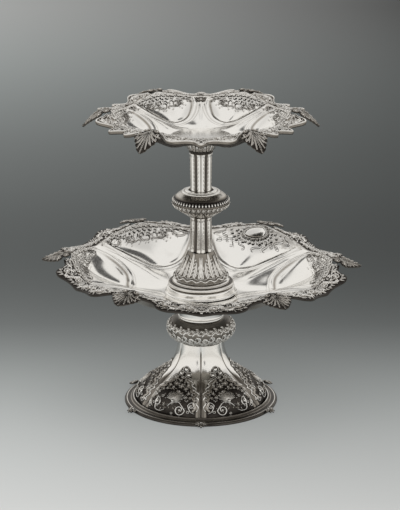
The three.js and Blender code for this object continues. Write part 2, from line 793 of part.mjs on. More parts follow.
// Assembly: the foot and lower bowl, the stem and upper dish, and the fastening
addPiece('foot_rim_moulding', rimMoulding(), polished);
addPiece('foot_dome', footDome(), chased);
addPiece('knop_lower', knopLower(), chased);
addPiece('knop_upper', knopUpper(), polished);
addPiece('bowl_collet', bowlCollet(), polished);
addPiece('lower_bowl', lowerBowl(), polished);
addPiece('bowl_seat', bowlSeat(), polished);
addPiece('stem_foot_ring', stemFootRing(), polished);
addPiece('stem_foot', stemFoot(), chased);
addPiece('lower_stem', lowerStem(), polished);
addPiece('collar_calyx', collarCalyx(), chased);
addPiece('collar_lower', collarLower(), chased);
addPiece('collar_upper', collarUpper(), polished);
addPiece('upper_stem', upperStem(), polished);
addPiece('stem_capital', stemCapital(), chased);
addPiece('upper_dish', upperDish(), polished);
addPiece('dish_boss', dishBoss(), steel);
addPiece('tie_rod', tieRod(), steel);
addPiece('clamp_plate', clampPlate(), steel);
addPiece('clamp_washer', clampWasher(), steel);
addPiece('wing_nut', wingNut(), steel);

const lowerLeaf = {
  length: LOWER_LEAF_LENGTH,
  halfWidth: LOWER_LEAF_HALF_WIDTH,
  crown: LOWER_LEAF_CROWN,
  droop: LOWER_LEAF_DROOP,
  curl: LOWER_LEAF_CURL,
};
const upperLeaf = {
  length: UPPER_LEAF_LENGTH,
  halfWidth: UPPER_LEAF_HALF_WIDTH,
  crown: UPPER_LEAF_CROWN,
  droop: UPPER_LEAF_DROOP,
  curl: UPPER_LEAF_CURL,
};

for (let k = 0; k < LOBES; k += 1) {
  const lobe = k * LOBE_ANGLE;
  const valley = lobe + LOBE_ANGLE / 2;
  addPiece(`rim_boss_${k + 1}`, rimBoss(valley), cast);
  addPiece(`lower_border_section_${k + 1}`, borderSection(lowerBorder, valley, scrolledStations), cast);
  addPiece(`lower_border_leaf_${k + 1}`, leaf(lowerBorder, lobe, lowerLeaf), cast);
  addPiece(`upper_border_section_${k + 1}`, borderSection(upperBorder, valley, wiredStations), cast);
  addPiece(`upper_border_leaf_${k + 1}`, leaf(upperBorder, lobe, upperLeaf), cast);
}

export default centrepiece;
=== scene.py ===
"""Dresses the two-tier silver centrepiece: raised bowls, chased panels, cast borders and polished stem."""

import math

import bmesh
import bpy
import numpy as np
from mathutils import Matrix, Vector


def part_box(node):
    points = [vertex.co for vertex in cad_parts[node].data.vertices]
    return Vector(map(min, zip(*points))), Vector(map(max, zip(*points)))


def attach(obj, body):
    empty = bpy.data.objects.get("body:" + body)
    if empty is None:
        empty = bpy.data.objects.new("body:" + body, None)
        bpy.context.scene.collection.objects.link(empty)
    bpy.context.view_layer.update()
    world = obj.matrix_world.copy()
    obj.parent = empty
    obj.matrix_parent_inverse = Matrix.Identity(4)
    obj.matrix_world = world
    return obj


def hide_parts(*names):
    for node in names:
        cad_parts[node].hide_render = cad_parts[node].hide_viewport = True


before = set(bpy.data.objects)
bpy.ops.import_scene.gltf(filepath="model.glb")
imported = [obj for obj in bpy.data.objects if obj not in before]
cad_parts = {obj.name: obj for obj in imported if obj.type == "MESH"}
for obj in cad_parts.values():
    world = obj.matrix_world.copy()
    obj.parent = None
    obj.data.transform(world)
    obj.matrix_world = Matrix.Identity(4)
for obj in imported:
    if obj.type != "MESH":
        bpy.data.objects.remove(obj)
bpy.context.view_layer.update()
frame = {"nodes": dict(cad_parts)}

bl_info = {
    "name": "Silver Centrepiece",
    "version": (1, 0, 0),
    "blender": (4, 5, 0),
    "location": "3D View > Sidebar > Centrepiece",
    "description": "Raised, chased and cast silver surfaces for a two-tier table centrepiece",
    "category": "Add Mesh",
}

MM = 0.001
LOBES = 6
LOBE_ANGLE = math.tau / LOBES
HALF_LOBE_DEGREES = 30.0
LOWER_BODY = "pedestal"
UPPER_BODY = "upper_stage"
NECK_R = 30 * MM
SEAM_GAP = 0.3 * MM
RIB_DEPTH = 2.6 * MM
ROD_BORE = 9.5 * MM
SHEET_COLUMNS = 432
SHEET_ROWS = 120
UNDER_ROWS = 44
FOOT_ROWS = 110
SHELL_COLUMNS = 168
STEM_COLUMNS = 288
STEM_ROWS = 30


def low(node):
    """Height of a node's underside."""
    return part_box(node)[0].z


def top(node):
    """Height of a node's top."""
    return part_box(node)[1].z


def reach(node):
    """Largest distance of a node along +X."""
    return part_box(node)[1].x


# Sizes that a user would change


class CENTREPIECE_PG_silver(bpy.types.PropertyGroup):
    polish: bpy.props.FloatProperty(
        name="Polish roughness", description="Roughness of the bright silver", default=0.11,
        min=0.02, max=0.6,
    )
    # Strength of the tarnish and of the painted shade drawn on every piece
    tarnish_and_shade: bpy.props.FloatProperty(
        name="Tarnish", description="How dark the recesses are",
        default=1.0, min=0.0, max=1.0, subtype="FACTOR",
    )
    bright: bpy.props.FloatVectorProperty(
        name="Bright silver", description="Colour of the polished metal",
        default=(0.93, 0.915, 0.885), subtype="COLOR",
    )
    # Colour of the oxide in the recesses, and of the painted shade
    dark: bpy.props.FloatVectorProperty(
        name="Oxide", description="Colour of the oxidised recesses",
        default=(0.035, 0.03, 0.027), subtype="COLOR",
    )


class CENTREPIECE_PG_sheet(bpy.types.PropertyGroup):
    wall: bpy.props.FloatProperty(
        name="Sheet wall", description="Thickness of the raised sheet", default=1.4 * MM, unit="LENGTH",
    )
    ridge_height: bpy.props.FloatProperty(
        name="Ridge height", description="Height of the smooth ridges round each hollow",
        default=1.5 * MM, unit="LENGTH",
    )
    ridge_width: bpy.props.FloatProperty(
        name="Ridge width", description="Half width of the smooth ridges", default=3.4 * MM, unit="LENGTH",
    )
    lean: bpy.props.FloatProperty(
        name="Lower bowl lean", description="Slight lean of the lower bowl to the right",
        default=0.022, subtype="ANGLE",
    )


class CENTREPIECE_PG_stage(bpy.types.PropertyGroup):
    lens: bpy.props.FloatProperty(name="Lens", description="Focal length in millimetres", default=176.47)
    camera_distance: bpy.props.FloatProperty(
        name="Camera distance", description="Distance in front of the stem", default=3.13266, unit="LENGTH",
    )
    camera_height: bpy.props.FloatProperty(
        name="Camera height", description="Height above the table", default=1.20252, unit="LENGTH",
    )
    camera_pitch: bpy.props.FloatProperty(
        name="Camera pitch", description="Angle below the horizontal",
        default=math.radians(17.708), subtype="ANGLE",
    )


def silver():
    return bpy.context.scene.centrepiece_silver


def sheet_sizes():
    return bpy.context.scene.centrepiece_sheet


# Curves and lobed outlines


def mix(a, b, share):
    return a + (b - a) * share


def bell(x, centre, width):
    return np.exp(-(((x - centre) / width) ** 2))


def smooth(x, start, end):
    t = np.clip((x - start) / (end - start), 0, 1)
    return t * t * (3 - 2 * t)


def valley_share(angle):
    """0 at a lobe's middle, 1 in the valley between two lobes."""
    turns = np.asarray(angle) / LOBE_ANGLE
    return 2 * np.abs(turns - np.round(turns))


def through(points, t):
    """Smooth curve through points, at shares t of its length in points."""
    points = np.asarray(points, float)
    last = len(points) - 1
    x = np.clip(np.asarray(t, float), 0, 1) * last
    k = np.minimum(x.astype(int), last - 1)
    w = (x - k)[..., None]
    a = points[np.maximum(k - 1, 0)]
    b = points[k]
    c = points[k + 1]
    d = points[np.minimum(k + 2, last)]
    go = (c - a) / 2
    come = (d - b) / 2
    return (2 * b - 2 * c + go + come) * w**3 + (3 * c - 3 * b - 2 * go - come) * w**2 + go * w + b


def profile(start, end, shares):
    """Curve from one corner to the other through shares of the way between them."""
    points = [(mix(start[0], end[0], u), mix(start[1], end[1], v)) for u, v in shares]
    return lambda t: through(points, t)


def lobed(lobe, valley, weight):
    """Outline that turns from a lobe's curve to a valley's curve by a weight of angle and share."""

    def outline(angle, share):
        p = lobe(share)
        q = valley(share)
        w = weight(valley_share(angle), share)
        return mix(p[..., 0], q[..., 0], w), mix(p[..., 1], q[..., 1], w)

    return outline


def round_outline(curve):
    def outline(angle, share):
        p = curve(share)
        return p[..., 0] + 0 * angle, p[..., 1] + 0 * angle

    return outline


def bowl_outline(bowl):
    """Inner skin of a bowl, from its table of sizes."""
    node = bowl["node"]
    floor = low(node) + sheet_sizes().wall
    start = (bowl["floor_r"], floor)
    lobe = profile(start, (reach(node), top(node)), [
        (0, 0), (0.17, 0.02), (0.42, 0.12), (0.7, 0.4), (0.88, 0.74), (1, 1),
    ])
    valley = profile(start, (bowl["valley_r"], floor + bowl["valley_rise"]), [
        (0, 0), (0.17, 0.16), (0.42, 0.45), (0.7, 0.76), (0.88, 0.93), (1, 1),
    ])

    def weight(across, share):
        inside = 0.5 - 0.5 * np.cos(math.pi * across)
        rim = 1 - (1 - across) ** bowl["sweep"]
        return mix(inside, rim, share * share)

    return lobed(lobe, valley, weight)


def at(r, angle, z):
    """Points from radius, angle and height."""
    return np.stack([r * np.cos(angle), r * np.sin(angle), z + 0 * angle], -1)


def unit(vectors):
    """Vectors cut to length 1."""
    return vectors / np.maximum(np.linalg.norm(vectors, axis=-1, keepdims=True), 1e-12)


def round_angles(columns):
    """Angles of the columns of a ring."""
    return (np.arange(columns) / columns * math.tau)[:, None]


# Surfaces that ornament is drawn on: each turns (u, v) in metres on the sheet into a place in space


def outline_lengths(outline, angle0):
    """Shares up a sheet at one angle, and its length to each of them."""
    shares = np.linspace(0, 1, 160)
    r, z = outline(np.full_like(shares, angle0), shares)
    return shares, np.concatenate([[0], np.cumsum(np.hypot(np.diff(r), np.diff(z)))])


def sheet_plane(outline, angle0, inward=False, start=0.0):
    """u runs round the sheet from angle0, v runs up from its foot, or in from its edge."""
    shares, lengths = outline_lengths(outline, angle0)

    def surface(u, v):
        along = lengths[-1] - v if inward else v
        share = np.interp(along + start, lengths, shares)
        radius, _ = outline(np.full_like(share, angle0), share)
        angle = angle0 + u / radius
        rr, zz = outline(angle, share)
        return at(rr, angle, zz)

    return surface


def lifted(surface, u, v, lift, side):
    """Points raised from a surface along its normal."""
    step = 0.05 * MM
    along_u = surface(u + step, v) - surface(u - step, v)
    along_v = surface(u, v + step) - surface(u, v - step)
    return surface(u, v) + unit(np.cross(along_u, along_v) * side) * lift[..., None]


# Drawings: strokes, each a path with widths and heights in millimetres and a cross-section

# Cross-sections as (across, height, darkness) points: each stroke's foot is dark with oxide and painted
# shade, its flanks are darkened as painted shade so that the crest stays a thin bright line, VEINED darkens
# its middle vein, RIBBON is painted grey over its top, DULL_PETAL is darker on one side of its top as
# painted shade, and LINE is dark all over, for a chased line's oxide and painted shade.
WIRE = [(-1, -0.4, 1.0), (-0.6, 0.8, 0.4), (0, 1, 0.0), (0.6, 0.8, 0.4), (1, -0.4, 1.0)]
BRIGHT_WIRE = [(-1, -0.4, 1.0), (-0.68, 0.75, 0.1), (0, 1, 0.0), (0.68, 0.75, 0.1), (1, -0.4, 1.0)]
PETAL = [(-1, -0.4, 1.0), (-0.62, 0.85, 0.02), (0.62, 0.85, 0.02), (1, -0.4, 1.0)]
DULL_PETAL = [(-1, -0.4, 1.0), (-0.45, 0.9, 0.3), (0.45, 0.9, 0.6), (1, -0.4, 1.0)]
VEINED = [
    (-1, -0.4, 1.0), (-0.74, 0.62, 0.4), (-0.4, 0.95, 0.0), (0, 0.6, 0.4),
    (0.4, 0.95, 0.0), (0.74, 0.62, 0.4), (1, -0.4, 1.0),
]
TILTED = [
    (-1, 0.1, 0.6), (-0.9, 0.16, 0.0), (0.9, 0.96, 0.0), (1, 0.8, 0.6), (1, -0.4, 1.0), (-1, -0.4, 1.0),
]
RIBBON = [
    (-1, -0.4, 1.0), (-0.8, 0.75, 0.5), (-0.4, 0.95, 0.34), (0.4, 0.7, 0.4), (0.8, 0.75, 0.5),
    (1, -0.4, 1.0),
]
LINE = [(-1, -0.6, 0.8), (-0.5, 0.9, 0.8), (0.5, 1, 0.62), (1, -0.6, 0.8)]


class Drawing:
    """Strokes on one panel, in millimetres, u to the right and v up."""

    def __init__(self):
        self.strokes = []

    def stroke(self, path, width, height, section=WIRE):
        path = np.asarray(path, float)
        count = len(path)
        widths = np.broadcast_to(np.asarray(width, float), (count,))
        heights = np.broadcast_to(np.asarray(height, float), (count,))
        self.strokes.append((path, widths, heights, section))

    def line(self, points, width=0.55, height=0.3, count=14):
        t = np.linspace(0, 1, count)
        self.stroke(through(points, t), width * (0.35 + 0.65 * np.sin(math.pi * t) ** 0.6), height, LINE)

    def bead(self, u, v, radius, height=None):
        t = np.linspace(-0.94, 0.94, 5)
        ring = np.sqrt(1 - t * t)
        path = np.stack([u + radius * t, np.full(5, v)], 1)
        self.stroke(path, radius * ring, (height or 0.9 * radius) * ring, PETAL)

    def petal(self, u, v, turn, length, width, height, section=WIRE, bend=0.0):
        """Leaf or petal from its root at (u, v), pointing along turn."""
        t = np.linspace(0, 1, 7)
        heading = turn + bend * t
        steps = np.stack([np.cos(heading), np.sin(heading)], 1) * length / 6
        path = np.array([u, v]) + np.concatenate([[(0, 0)], np.cumsum(steps[:-1], 0)])
        swell = np.array([0.3, 0.75, 1.0, 1.0, 0.85, 0.55, 0.14])
        self.stroke(path, width * swell, height * np.array([0.5, 0.85, 1, 1, 0.9, 0.7, 0.3]), section)

    def flower(self, u, v, radius, petals=5, turn=0.3, height=1.0, section=PETAL):
        for k in range(petals):
            around = turn + k * math.tau / petals
            self.petal(
                u + 0.22 * radius * math.cos(around), v + 0.22 * radius * math.sin(around),
                around, 0.8 * radius, 0.36 * radius, height, section,
            )
        self.bead(u, v, 0.3 * radius, height * 1.15)

    def scroll(self, u, v, length, turn, bend, curls, width, height, bead, section=WIRE, count=24):
        """Scroll by its back's middle and the direction there: a C by curls of one sign, an S by two."""
        t = 0.5 - 0.5 * np.cos(np.linspace(0, math.pi, count))
        power = 4.0
        heading = bend * t - curls[0] * (1 - t) ** power + curls[1] * t**power
        middle = bend * 0.5 + (curls[1] - curls[0]) * 0.5**power
        heading = heading - middle + turn
        direction = np.stack([np.cos(heading), np.sin(heading)], 1)
        steps = (direction[1:] + direction[:-1]) / 2 * np.diff(t)[:, None] * length
        path = np.concatenate([[(0, 0)], np.cumsum(steps, 0)])
        path = path - path[count // 2] + np.array([u, v])
        swell = 0.5 + 0.5 * np.sin(math.pi * t)
        self.stroke(path, width * swell, height * (0.7 + 0.3 * np.sin(math.pi * t)), section)
        for end in (path[0], path[-1]):
            self.bead(end[0], end[1], bead * width, height * 1.2)

    def spiral(self, u, v, inner, outer, start, turns, width, height, bead, tail=()):
        """Volute out from a bead at its eye, then on through the tail's points."""
        t = np.linspace(0, 1, 30)
        around = start + turns * math.tau * t
        away = inner + (outer - inner) * t**0.8
        path = np.stack([u + away * np.cos(around), v + away * np.sin(around)], 1)
        if tail:
            path = np.concatenate([path, through([path[-1], *tail], np.linspace(0, 1, 14))[1:]])
        swell = 0.55 + 0.45 * np.sin(math.pi * np.linspace(0.1, 1, len(path)))
        self.stroke(path, width * swell, height, BRIGHT_WIRE)
        self.bead(u, v, bead, height * 1.3)

    def fan(self, u, v, radius, turn, spread, ribs, width, height):
        """Ribs spread about one direction, as in a shell."""
        for k in range(ribs):
            share = k / (ribs - 1) - 0.5
            around = turn + spread * share
            length = radius * (1 - 0.35 * abs(2 * share) ** 2)
            self.petal(
                u + 0.12 * radius * math.cos(around), v + 0.12 * radius * math.sin(around),
                around, length, width, height, WIRE, bend=0.5 * share,
            )

    def thicket(self, per_degree, end, low_v, high_v, seed, count, size=1.0):
        """Small leaves, curls and berries that fill the gaps of half a drawing."""
        dots = np.random.default_rng(seed)
        for k in range(count):
            u = (0.4 + (end - 0.8) * (k + dots.random()) / count) * per_degree
            v = dots.uniform(low_v, high_v)
            turn = dots.uniform(0, math.tau)
            kind = dots.random()
            if kind < 0.2:
                self.bead(u, v, 0.85 * size, 1.7 * size)
            elif kind < 0.42:
                bend = 1.5 if dots.random() < 0.5 else -1.5
                curls = (2.4 * bend, 2.4 * bend)
                self.scroll(u, v, 8 * size, turn, bend, curls, 0.62 * size, 1.7 * size, 1.4, PETAL, 12)
            else:
                self.petal(u, v, turn, 4.6 * size, 0.8 * size, 1.6 * size, PETAL, dots.uniform(-0.8, 0.8))

    def mirrored(self):
        """Same drawing with its mirror image beside it."""
        whole = Drawing()
        for path, *rest in self.strokes:
            whole.strokes += [(path, *rest), (path * (-1, 1), *rest)]
        return whole


def raised(drawing, *surfaces, side=1, scale=1.0, added_darkening=0.0):
    """Closed strokes of a drawing on each surface, mirrored on every second one, with their tarnish and
    painted shade.
    """
    points, shades, faces = [], [], []
    count = 0
    for number, surface in enumerate(surfaces):
        for path, widths, heights, section in drawing.strokes:
            tangent = unit(np.gradient(path, axis=0))
            shape = np.array(section, float)
            spread = widths[:, None] * shape[:, 0]
            u = (path[:, :1] - tangent[:, 1:] * spread) * (-1) ** number
            v = path[:, 1:] + tangent[:, :1] * spread
            lift = heights[:, None] * shape[:, 1]
            placed = lifted(surface, u * MM * scale, v * MM * scale, lift * MM * scale, side)
            skin, quads = strip_faces(placed)
            points.append(skin)
            shades.append(np.tile(np.minimum(shape[:, 2] + added_darkening, 1), len(path)))
            faces.extend([[corner + count for corner in face] for face in quads])
            count += len(skin)
    return plain_mesh(np.concatenate(points), faces, np.concatenate(shades))

# Meshes


def plain_mesh(points, faces, shade):
    """Smooth mesh with its tarnish and painted shade, from 0, bright, to 1, black."""
    mesh = bpy.data.meshes.new("silver")
    mesh.from_pydata(np.asarray(points).tolist(), [], faces)
    mesh.update()
    tarnish_and_shade = mesh.attributes.new("tarnish_and_shade", "FLOAT", "POINT")
    tarnish_and_shade.data.foreach_set("value", np.clip(shade, 0, 1).astype(np.float32))
    mesh.shade_smooth()
    return mesh


def volume(points, quads):
    """Six times the volume inside a closed mesh, below 0 where its faces point inwards."""
    a, b, c, d = (points[quads[:, k]] for k in range(4))
    return (np.cross(a, b) * c).sum() + (np.cross(a, c) * d).sum()


def strip_faces(loops):
    """Points and outward faces of a strip with capped ends, from loops of shape (rows, loop, 3)."""
    rows, count, _ = loops.shape
    index = np.arange(rows * count).reshape(rows, count)
    right = np.roll(index, -1, 1)
    quads = np.stack([index[:-1], index[1:], right[1:], right[:-1]], -1).reshape(-1, 4)
    caps = [list(index[0]), list(index[-1][::-1])]
    points = loops.reshape(-1, 3)
    if volume(points - points.mean(0), quads) < 0:
        quads = quads[:, ::-1]
        caps = [cap[::-1] for cap in caps]
    return points, quads.tolist() + caps


def ring_mesh(loops, shade):
    """Closed skin all the way round, from points of shape (columns, loop, 3)."""
    columns, count, _ = loops.shape
    index = np.arange(columns * count).reshape(columns, count)
    ahead = np.roll(index, -1, 0)
    quads = np.stack([index, ahead, np.roll(ahead, -1, 1), np.roll(index, -1, 1)], -1).reshape(-1, 4)
    points = loops.reshape(-1, 3)
    if volume(points, quads) < 0:
        quads = quads[:, ::-1]
    return plain_mesh(points, quads.tolist(), np.broadcast_to(shade, (columns, count)).reshape(-1))


def turned_mesh(loop, columns, shade=0.0):
    """Turned piece from a closed (radius, height) loop."""
    loop = np.asarray(loop, float)
    return ring_mesh(at(loop[:, 0], round_angles(columns), loop[:, 1]), shade)


def rounded(loop, steps=3, share=0.28):
    """Closed loop with each corner cut back and rounded, for turned mouldings."""
    loop = np.asarray(loop, float)
    out = []
    for k in range(len(loop)):
        before, here, after = loop[k - 1], loop[k], loop[(k + 1) % len(loop)]
        a = mix(here, before, share)
        b = mix(here, after, share)
        for j in range(steps + 1):
            t = j / steps
            out.append((1 - t) ** 2 * a + 2 * t * (1 - t) * here + t * t * b)
    return np.array(out)


def sheet_normal(front):
    """Normals of a sheet's front skin of shape (columns, rows, 3)."""
    ahead = np.roll(front, -1, 0) - np.roll(front, 1, 0)
    return unit(np.cross(ahead, np.gradient(front, axis=1)))


def walled(front):
    """Closed loops from a sheet's front skin and its wall."""
    back = front - sheet_normal(front) * sheet_sizes().wall
    return np.concatenate([front, back[:, ::-1]], 1)


# Pieces


def new_object(name, data):
    obj = bpy.data.objects.new(name, data)
    bpy.context.scene.collection.objects.link(obj)
    return obj


def add_piece(name, mesh, kind, body, nodes=()):
    """Ties a finished mesh to its body, its kind of silver and the nodes that it stands for."""
    mesh.name = name
    mesh.materials.clear()
    mesh.materials.append(silver_material(kind))
    obj = new_object(name, mesh)
    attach(obj, body)
    if nodes:
        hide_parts(*nodes)


def ring_piece(name, mesh, kind, body, nodes=(), count=LOBES, first=0.0, step=LOBE_ANGLE):
    """Piece of equal parts that stand in a ring."""
    add_piece(name, copies(mesh, kind, count, first, step), kind, body, nodes)


def six(stem):
    return [f"{stem}_{k + 1}" for k in range(LOBES)]


def joined(meshes):
    """One mesh from several, with their tarnish and painted shade."""
    build = bmesh.new()
    for mesh in meshes:
        build.from_mesh(mesh)
    whole = bpy.data.meshes.new("joined")
    build.to_mesh(whole)
    build.free()
    return whole


def leaned(mesh, bowl):
    """Lower bowl's lean, about the middle of its floor. The upper dish has none."""
    if not bowl["leans"]:
        return mesh
    points = np.empty(len(mesh.vertices) * 3)
    mesh.vertices.foreach_get("co", points)
    points = points.reshape(-1, 3)
    pivot = low(bowl["node"])
    angle = sheet_sizes().lean
    x = points[:, 0].copy()
    z = points[:, 2] - pivot
    points[:, 0] = x * math.cos(angle) + z * math.sin(angle)
    points[:, 2] = pivot - x * math.sin(angle) + z * math.cos(angle)
    mesh.vertices.foreach_set("co", points.reshape(-1))
    mesh.update()
    return mesh


# Nodes


def fill(tree, node, given):
    """Fills a node's inputs: a socket is linked to them, and any other value is set."""
    for key, value in given.items():
        if isinstance(value, bpy.types.NodeSocket):
            tree.links.new(value, node.inputs[key])
        else:
            node.inputs[key].default_value = value


def add_node(tree, kind, given=None, **settings):
    """New node with its settings and inputs. Gives its outputs."""
    node = tree.nodes.new(kind)
    for key, value in settings.items():
        setattr(node, key, value)
    fill(tree, node, given or {})
    return node.outputs


def maths(tree, operation, *values):
    return add_node(tree, "ShaderNodeMath", dict(enumerate(values)), operation=operation)["Value"]


def noise(tree, where, scale, detail):
    return add_node(tree, "ShaderNodeTexNoise", {"Vector": where, "Scale": scale, "Detail": detail})["Fac"]


def stretch(tree, value, start, end, to_start=0.0, to_end=1.0, kind="LINEAR"):
    """Value moved from one range to another, and held there."""
    given = {"Value": value, "From Min": start, "From Max": end, "To Min": to_start, "To Max": to_end}
    return add_node(tree, "ShaderNodeMapRange", given, interpolation_type=kind)["Result"]


def tinted(tree, share, colour, tint):
    """Colour mixed towards a plain tint."""
    given = {"Factor": share, "A": colour, "B": (*tint, 1)}
    return add_node(tree, "ShaderNodeMix", given, data_type="RGBA")["Result"]


def bump(tree, height, strength, distance, **normal):
    given = {"Height": height, "Strength": strength, "Distance": distance, **normal}
    return add_node(tree, "ShaderNodeBump", given)["Normal"]


def ramp(tree, value, stops, interpolation="LINEAR"):
    """Colours through (place, colour) stops."""
    node = tree.nodes.new("ShaderNodeValToRGB")
    tree.links.new(value, node.inputs["Fac"])
    node.color_ramp.interpolation = interpolation
    elements = node.color_ramp.elements
    for stop, (place, colour) in zip(elements, (stops[0], stops[-1])):
        stop.position = place
        stop.color = (*colour, 1)
    for place, colour in stops[1:-1]:
        elements.new(place).color = (*colour, 1)
    return node.outputs["Color"]


def ring_of_copies_tree():
    """Geometry Nodes tree: copies of a mesh turned round the stem."""
    tree = bpy.data.node_groups.get("ring_of_copies")
    if tree:
        return tree
    tree = bpy.data.node_groups.new("ring_of_copies", "GeometryNodeTree")
    for kind, name, start in (
        ("Geometry", "Geometry", None), ("Int", "Copies", LOBES), ("Float", "First angle", 0.0),
        ("Float", "Step angle", LOBE_ANGLE), ("Material", "Finish", None),
    ):
        socket = tree.interface.new_socket(name, in_out="INPUT", socket_type="NodeSocket" + kind)
        if start is not None:
            socket.default_value = start
    tree.interface.new_socket("Geometry", in_out="OUTPUT", socket_type="NodeSocketGeometry")
    given = add_node(tree, "NodeGroupInput")
    line = add_node(tree, "GeometryNodeMeshLine", {"Count": given["Copies"], "Offset": (0, 0, 0)})
    dots = add_node(tree, "GeometryNodeMeshToPoints", {"Mesh": line["Mesh"]})
    index = add_node(tree, "GeometryNodeInputIndex")["Index"]
    turn = maths(tree, "MULTIPLY_ADD", index, given["Step angle"], given["First angle"])
    turned = add_node(tree, "ShaderNodeCombineXYZ", {"Z": turn})["Vector"]
    placing = {"Points": dots["Points"], "Instance": given["Geometry"], "Rotation": turned}
    placed = add_node(tree, "GeometryNodeInstanceOnPoints", placing)["Instances"]
    real = add_node(tree, "GeometryNodeRealizeInstances", {"Geometry": placed})["Geometry"]
    finished = add_node(tree, "GeometryNodeSetMaterial", {"Geometry": real, "Material": given["Finish"]})
    add_node(tree, "NodeGroupOutput", {"Geometry": finished["Geometry"]})
    return tree


def copies(mesh, kind, count=LOBES, first=0.0, step=LOBE_ANGLE):
    """Copies of a mesh turned round the stem, as one plain mesh."""
    source = new_object("source", mesh)
    modifier = source.modifiers.new("nodes", "NODES")
    modifier.node_group = ring_of_copies_tree()
    values = {"Copies": count, "First angle": first, "Step angle": step, "Finish": silver_material(kind)}
    for item in modifier.node_group.interface.items_tree:
        if item.name in values:
            modifier[item.identifier] = values[item.name]
    bpy.context.view_layer.update()
    graph = bpy.context.evaluated_depsgraph_get()
    result = bpy.data.meshes.new_from_object(
        source.evaluated_get(graph), preserve_all_data_layers=True, depsgraph=graph
    )
    source.modifiers.remove(modifier)
    bpy.data.objects.remove(source)
    return result


# Materials

# Roughness over the polish, and depth of the hammered or cast grain
FINISHES = {"polished": (0.0, 0.0), "chased": (0.03, 0.08), "cast": (0.03, 0.12)}
# Mid colour between bright silver and oxide, for tarnish film and painted shade alike
WARM_FILM_AND_SHADE = (0.36, 0.33, 0.29)


def new_material(name):
    """New material, its tree and its shader."""
    material = bpy.data.materials.new(name)
    material.use_nodes = True
    return material, material.node_tree, material.node_tree.nodes["Principled BSDF"]


def silver_material(kind):
    """Silver whose colour and polish follow the tarnish and painted shade drawn on each piece."""
    found = bpy.data.materials.get(kind + "_finish")
    if found:
        return found
    sizes = silver()
    extra, grain = FINISHES[kind]
    rough = sizes.polish + extra
    material, tree, shader = new_material(kind + "_finish")
    where = add_node(tree, "ShaderNodeTexCoord")["Object"]
    # The attribute holds the oxide in the recesses and the painted shade of each piece
    mark = add_node(tree, "ShaderNodeAttribute", attribute_name="tarnish_and_shade")["Fac"]
    added_darkening = stretch(tree, noise(tree, where, 38.0, 4.0), 0.35, 0.75, 0.0, 0.1)
    depth = maths(tree, "MULTIPLY_ADD", mark, sizes.tarnish_and_shade, added_darkening)
    tone = ramp(tree, depth, ((0.05, sizes.bright), (0.45, WARM_FILM_AND_SHADE), (1.0, sizes.dark)))
    worn = stretch(tree, noise(tree, where, 420.0, 3.0), 0.3, 0.7, rough * 0.75, rough * 1.3)
    polish = maths(tree, "MULTIPLY_ADD", depth, 0.34, worn)
    normal = bump(tree, noise(tree, where, 60.0, 1.0), 0.06, 0.5 * MM)
    if grain:
        normal = bump(tree, noise(tree, where, 900.0, 2.0), grain, 0.3 * MM, Normal=normal)
    fill(tree, shader, {"Metallic": 1.0, "Base Color": tone, "Roughness": polish, "Normal": normal})
    return material


def steel_material():
    """Steel with fine turning marks."""
    material, tree, shader = new_material("turned_steel")
    where = add_node(tree, "ShaderNodeTexCoord")["Object"]
    rings = add_node(
        tree, "ShaderNodeTexWave", {"Vector": where, "Scale": 900.0, "Distortion": 1.5},
        wave_type="RINGS", rings_direction="Z",
    )["Fac"]
    tone = ramp(tree, rings, ((0.0, (0.34, 0.34, 0.335)), (1.0, (0.5, 0.5, 0.49))))
    normal = bump(tree, rings, 0.2, 0.1 * MM)
    fill(tree, shader, {"Metallic": 1.0, "Base Color": tone, "Roughness": 0.38, "Normal": normal})
    return material


# Foot


def dome_outline():
    start = (reach("foot_dome"), low("foot_dome"))
    neck = (NECK_R, top("foot_dome"))
    lobe = profile(start, neck, [
        (0, 0), (0.012, 0.1), (0.075, 0.2), (0.225, 0.3), (0.49, 0.41), (0.715, 0.51), (0.825, 0.6),
        (0.935, 0.78), (1, 1),
    ])
    valley = profile(start, neck, [
        (0, 0), (0.14, 0.1), (0.27, 0.2), (0.38, 0.3), (0.54, 0.41), (0.73, 0.51), (0.87, 0.63),
        (0.965, 0.78), (1, 1),
    ])
    return lobed(lobe, valley, lambda across, share: 0.7 * across**2 + 0.3 * across**7)


PANEL_HALF = ((0, 44), (12, 41), (30, 36), (48, 21.5), (58, 13), (66, 9.5), (72, 6), (76, 0))


def panel_half(v):
    """Half width of the chased panel at a height up the lobe, in millimetres."""
    heights, halves = zip(*PANEL_HALF)
    return np.interp(v, heights, halves)


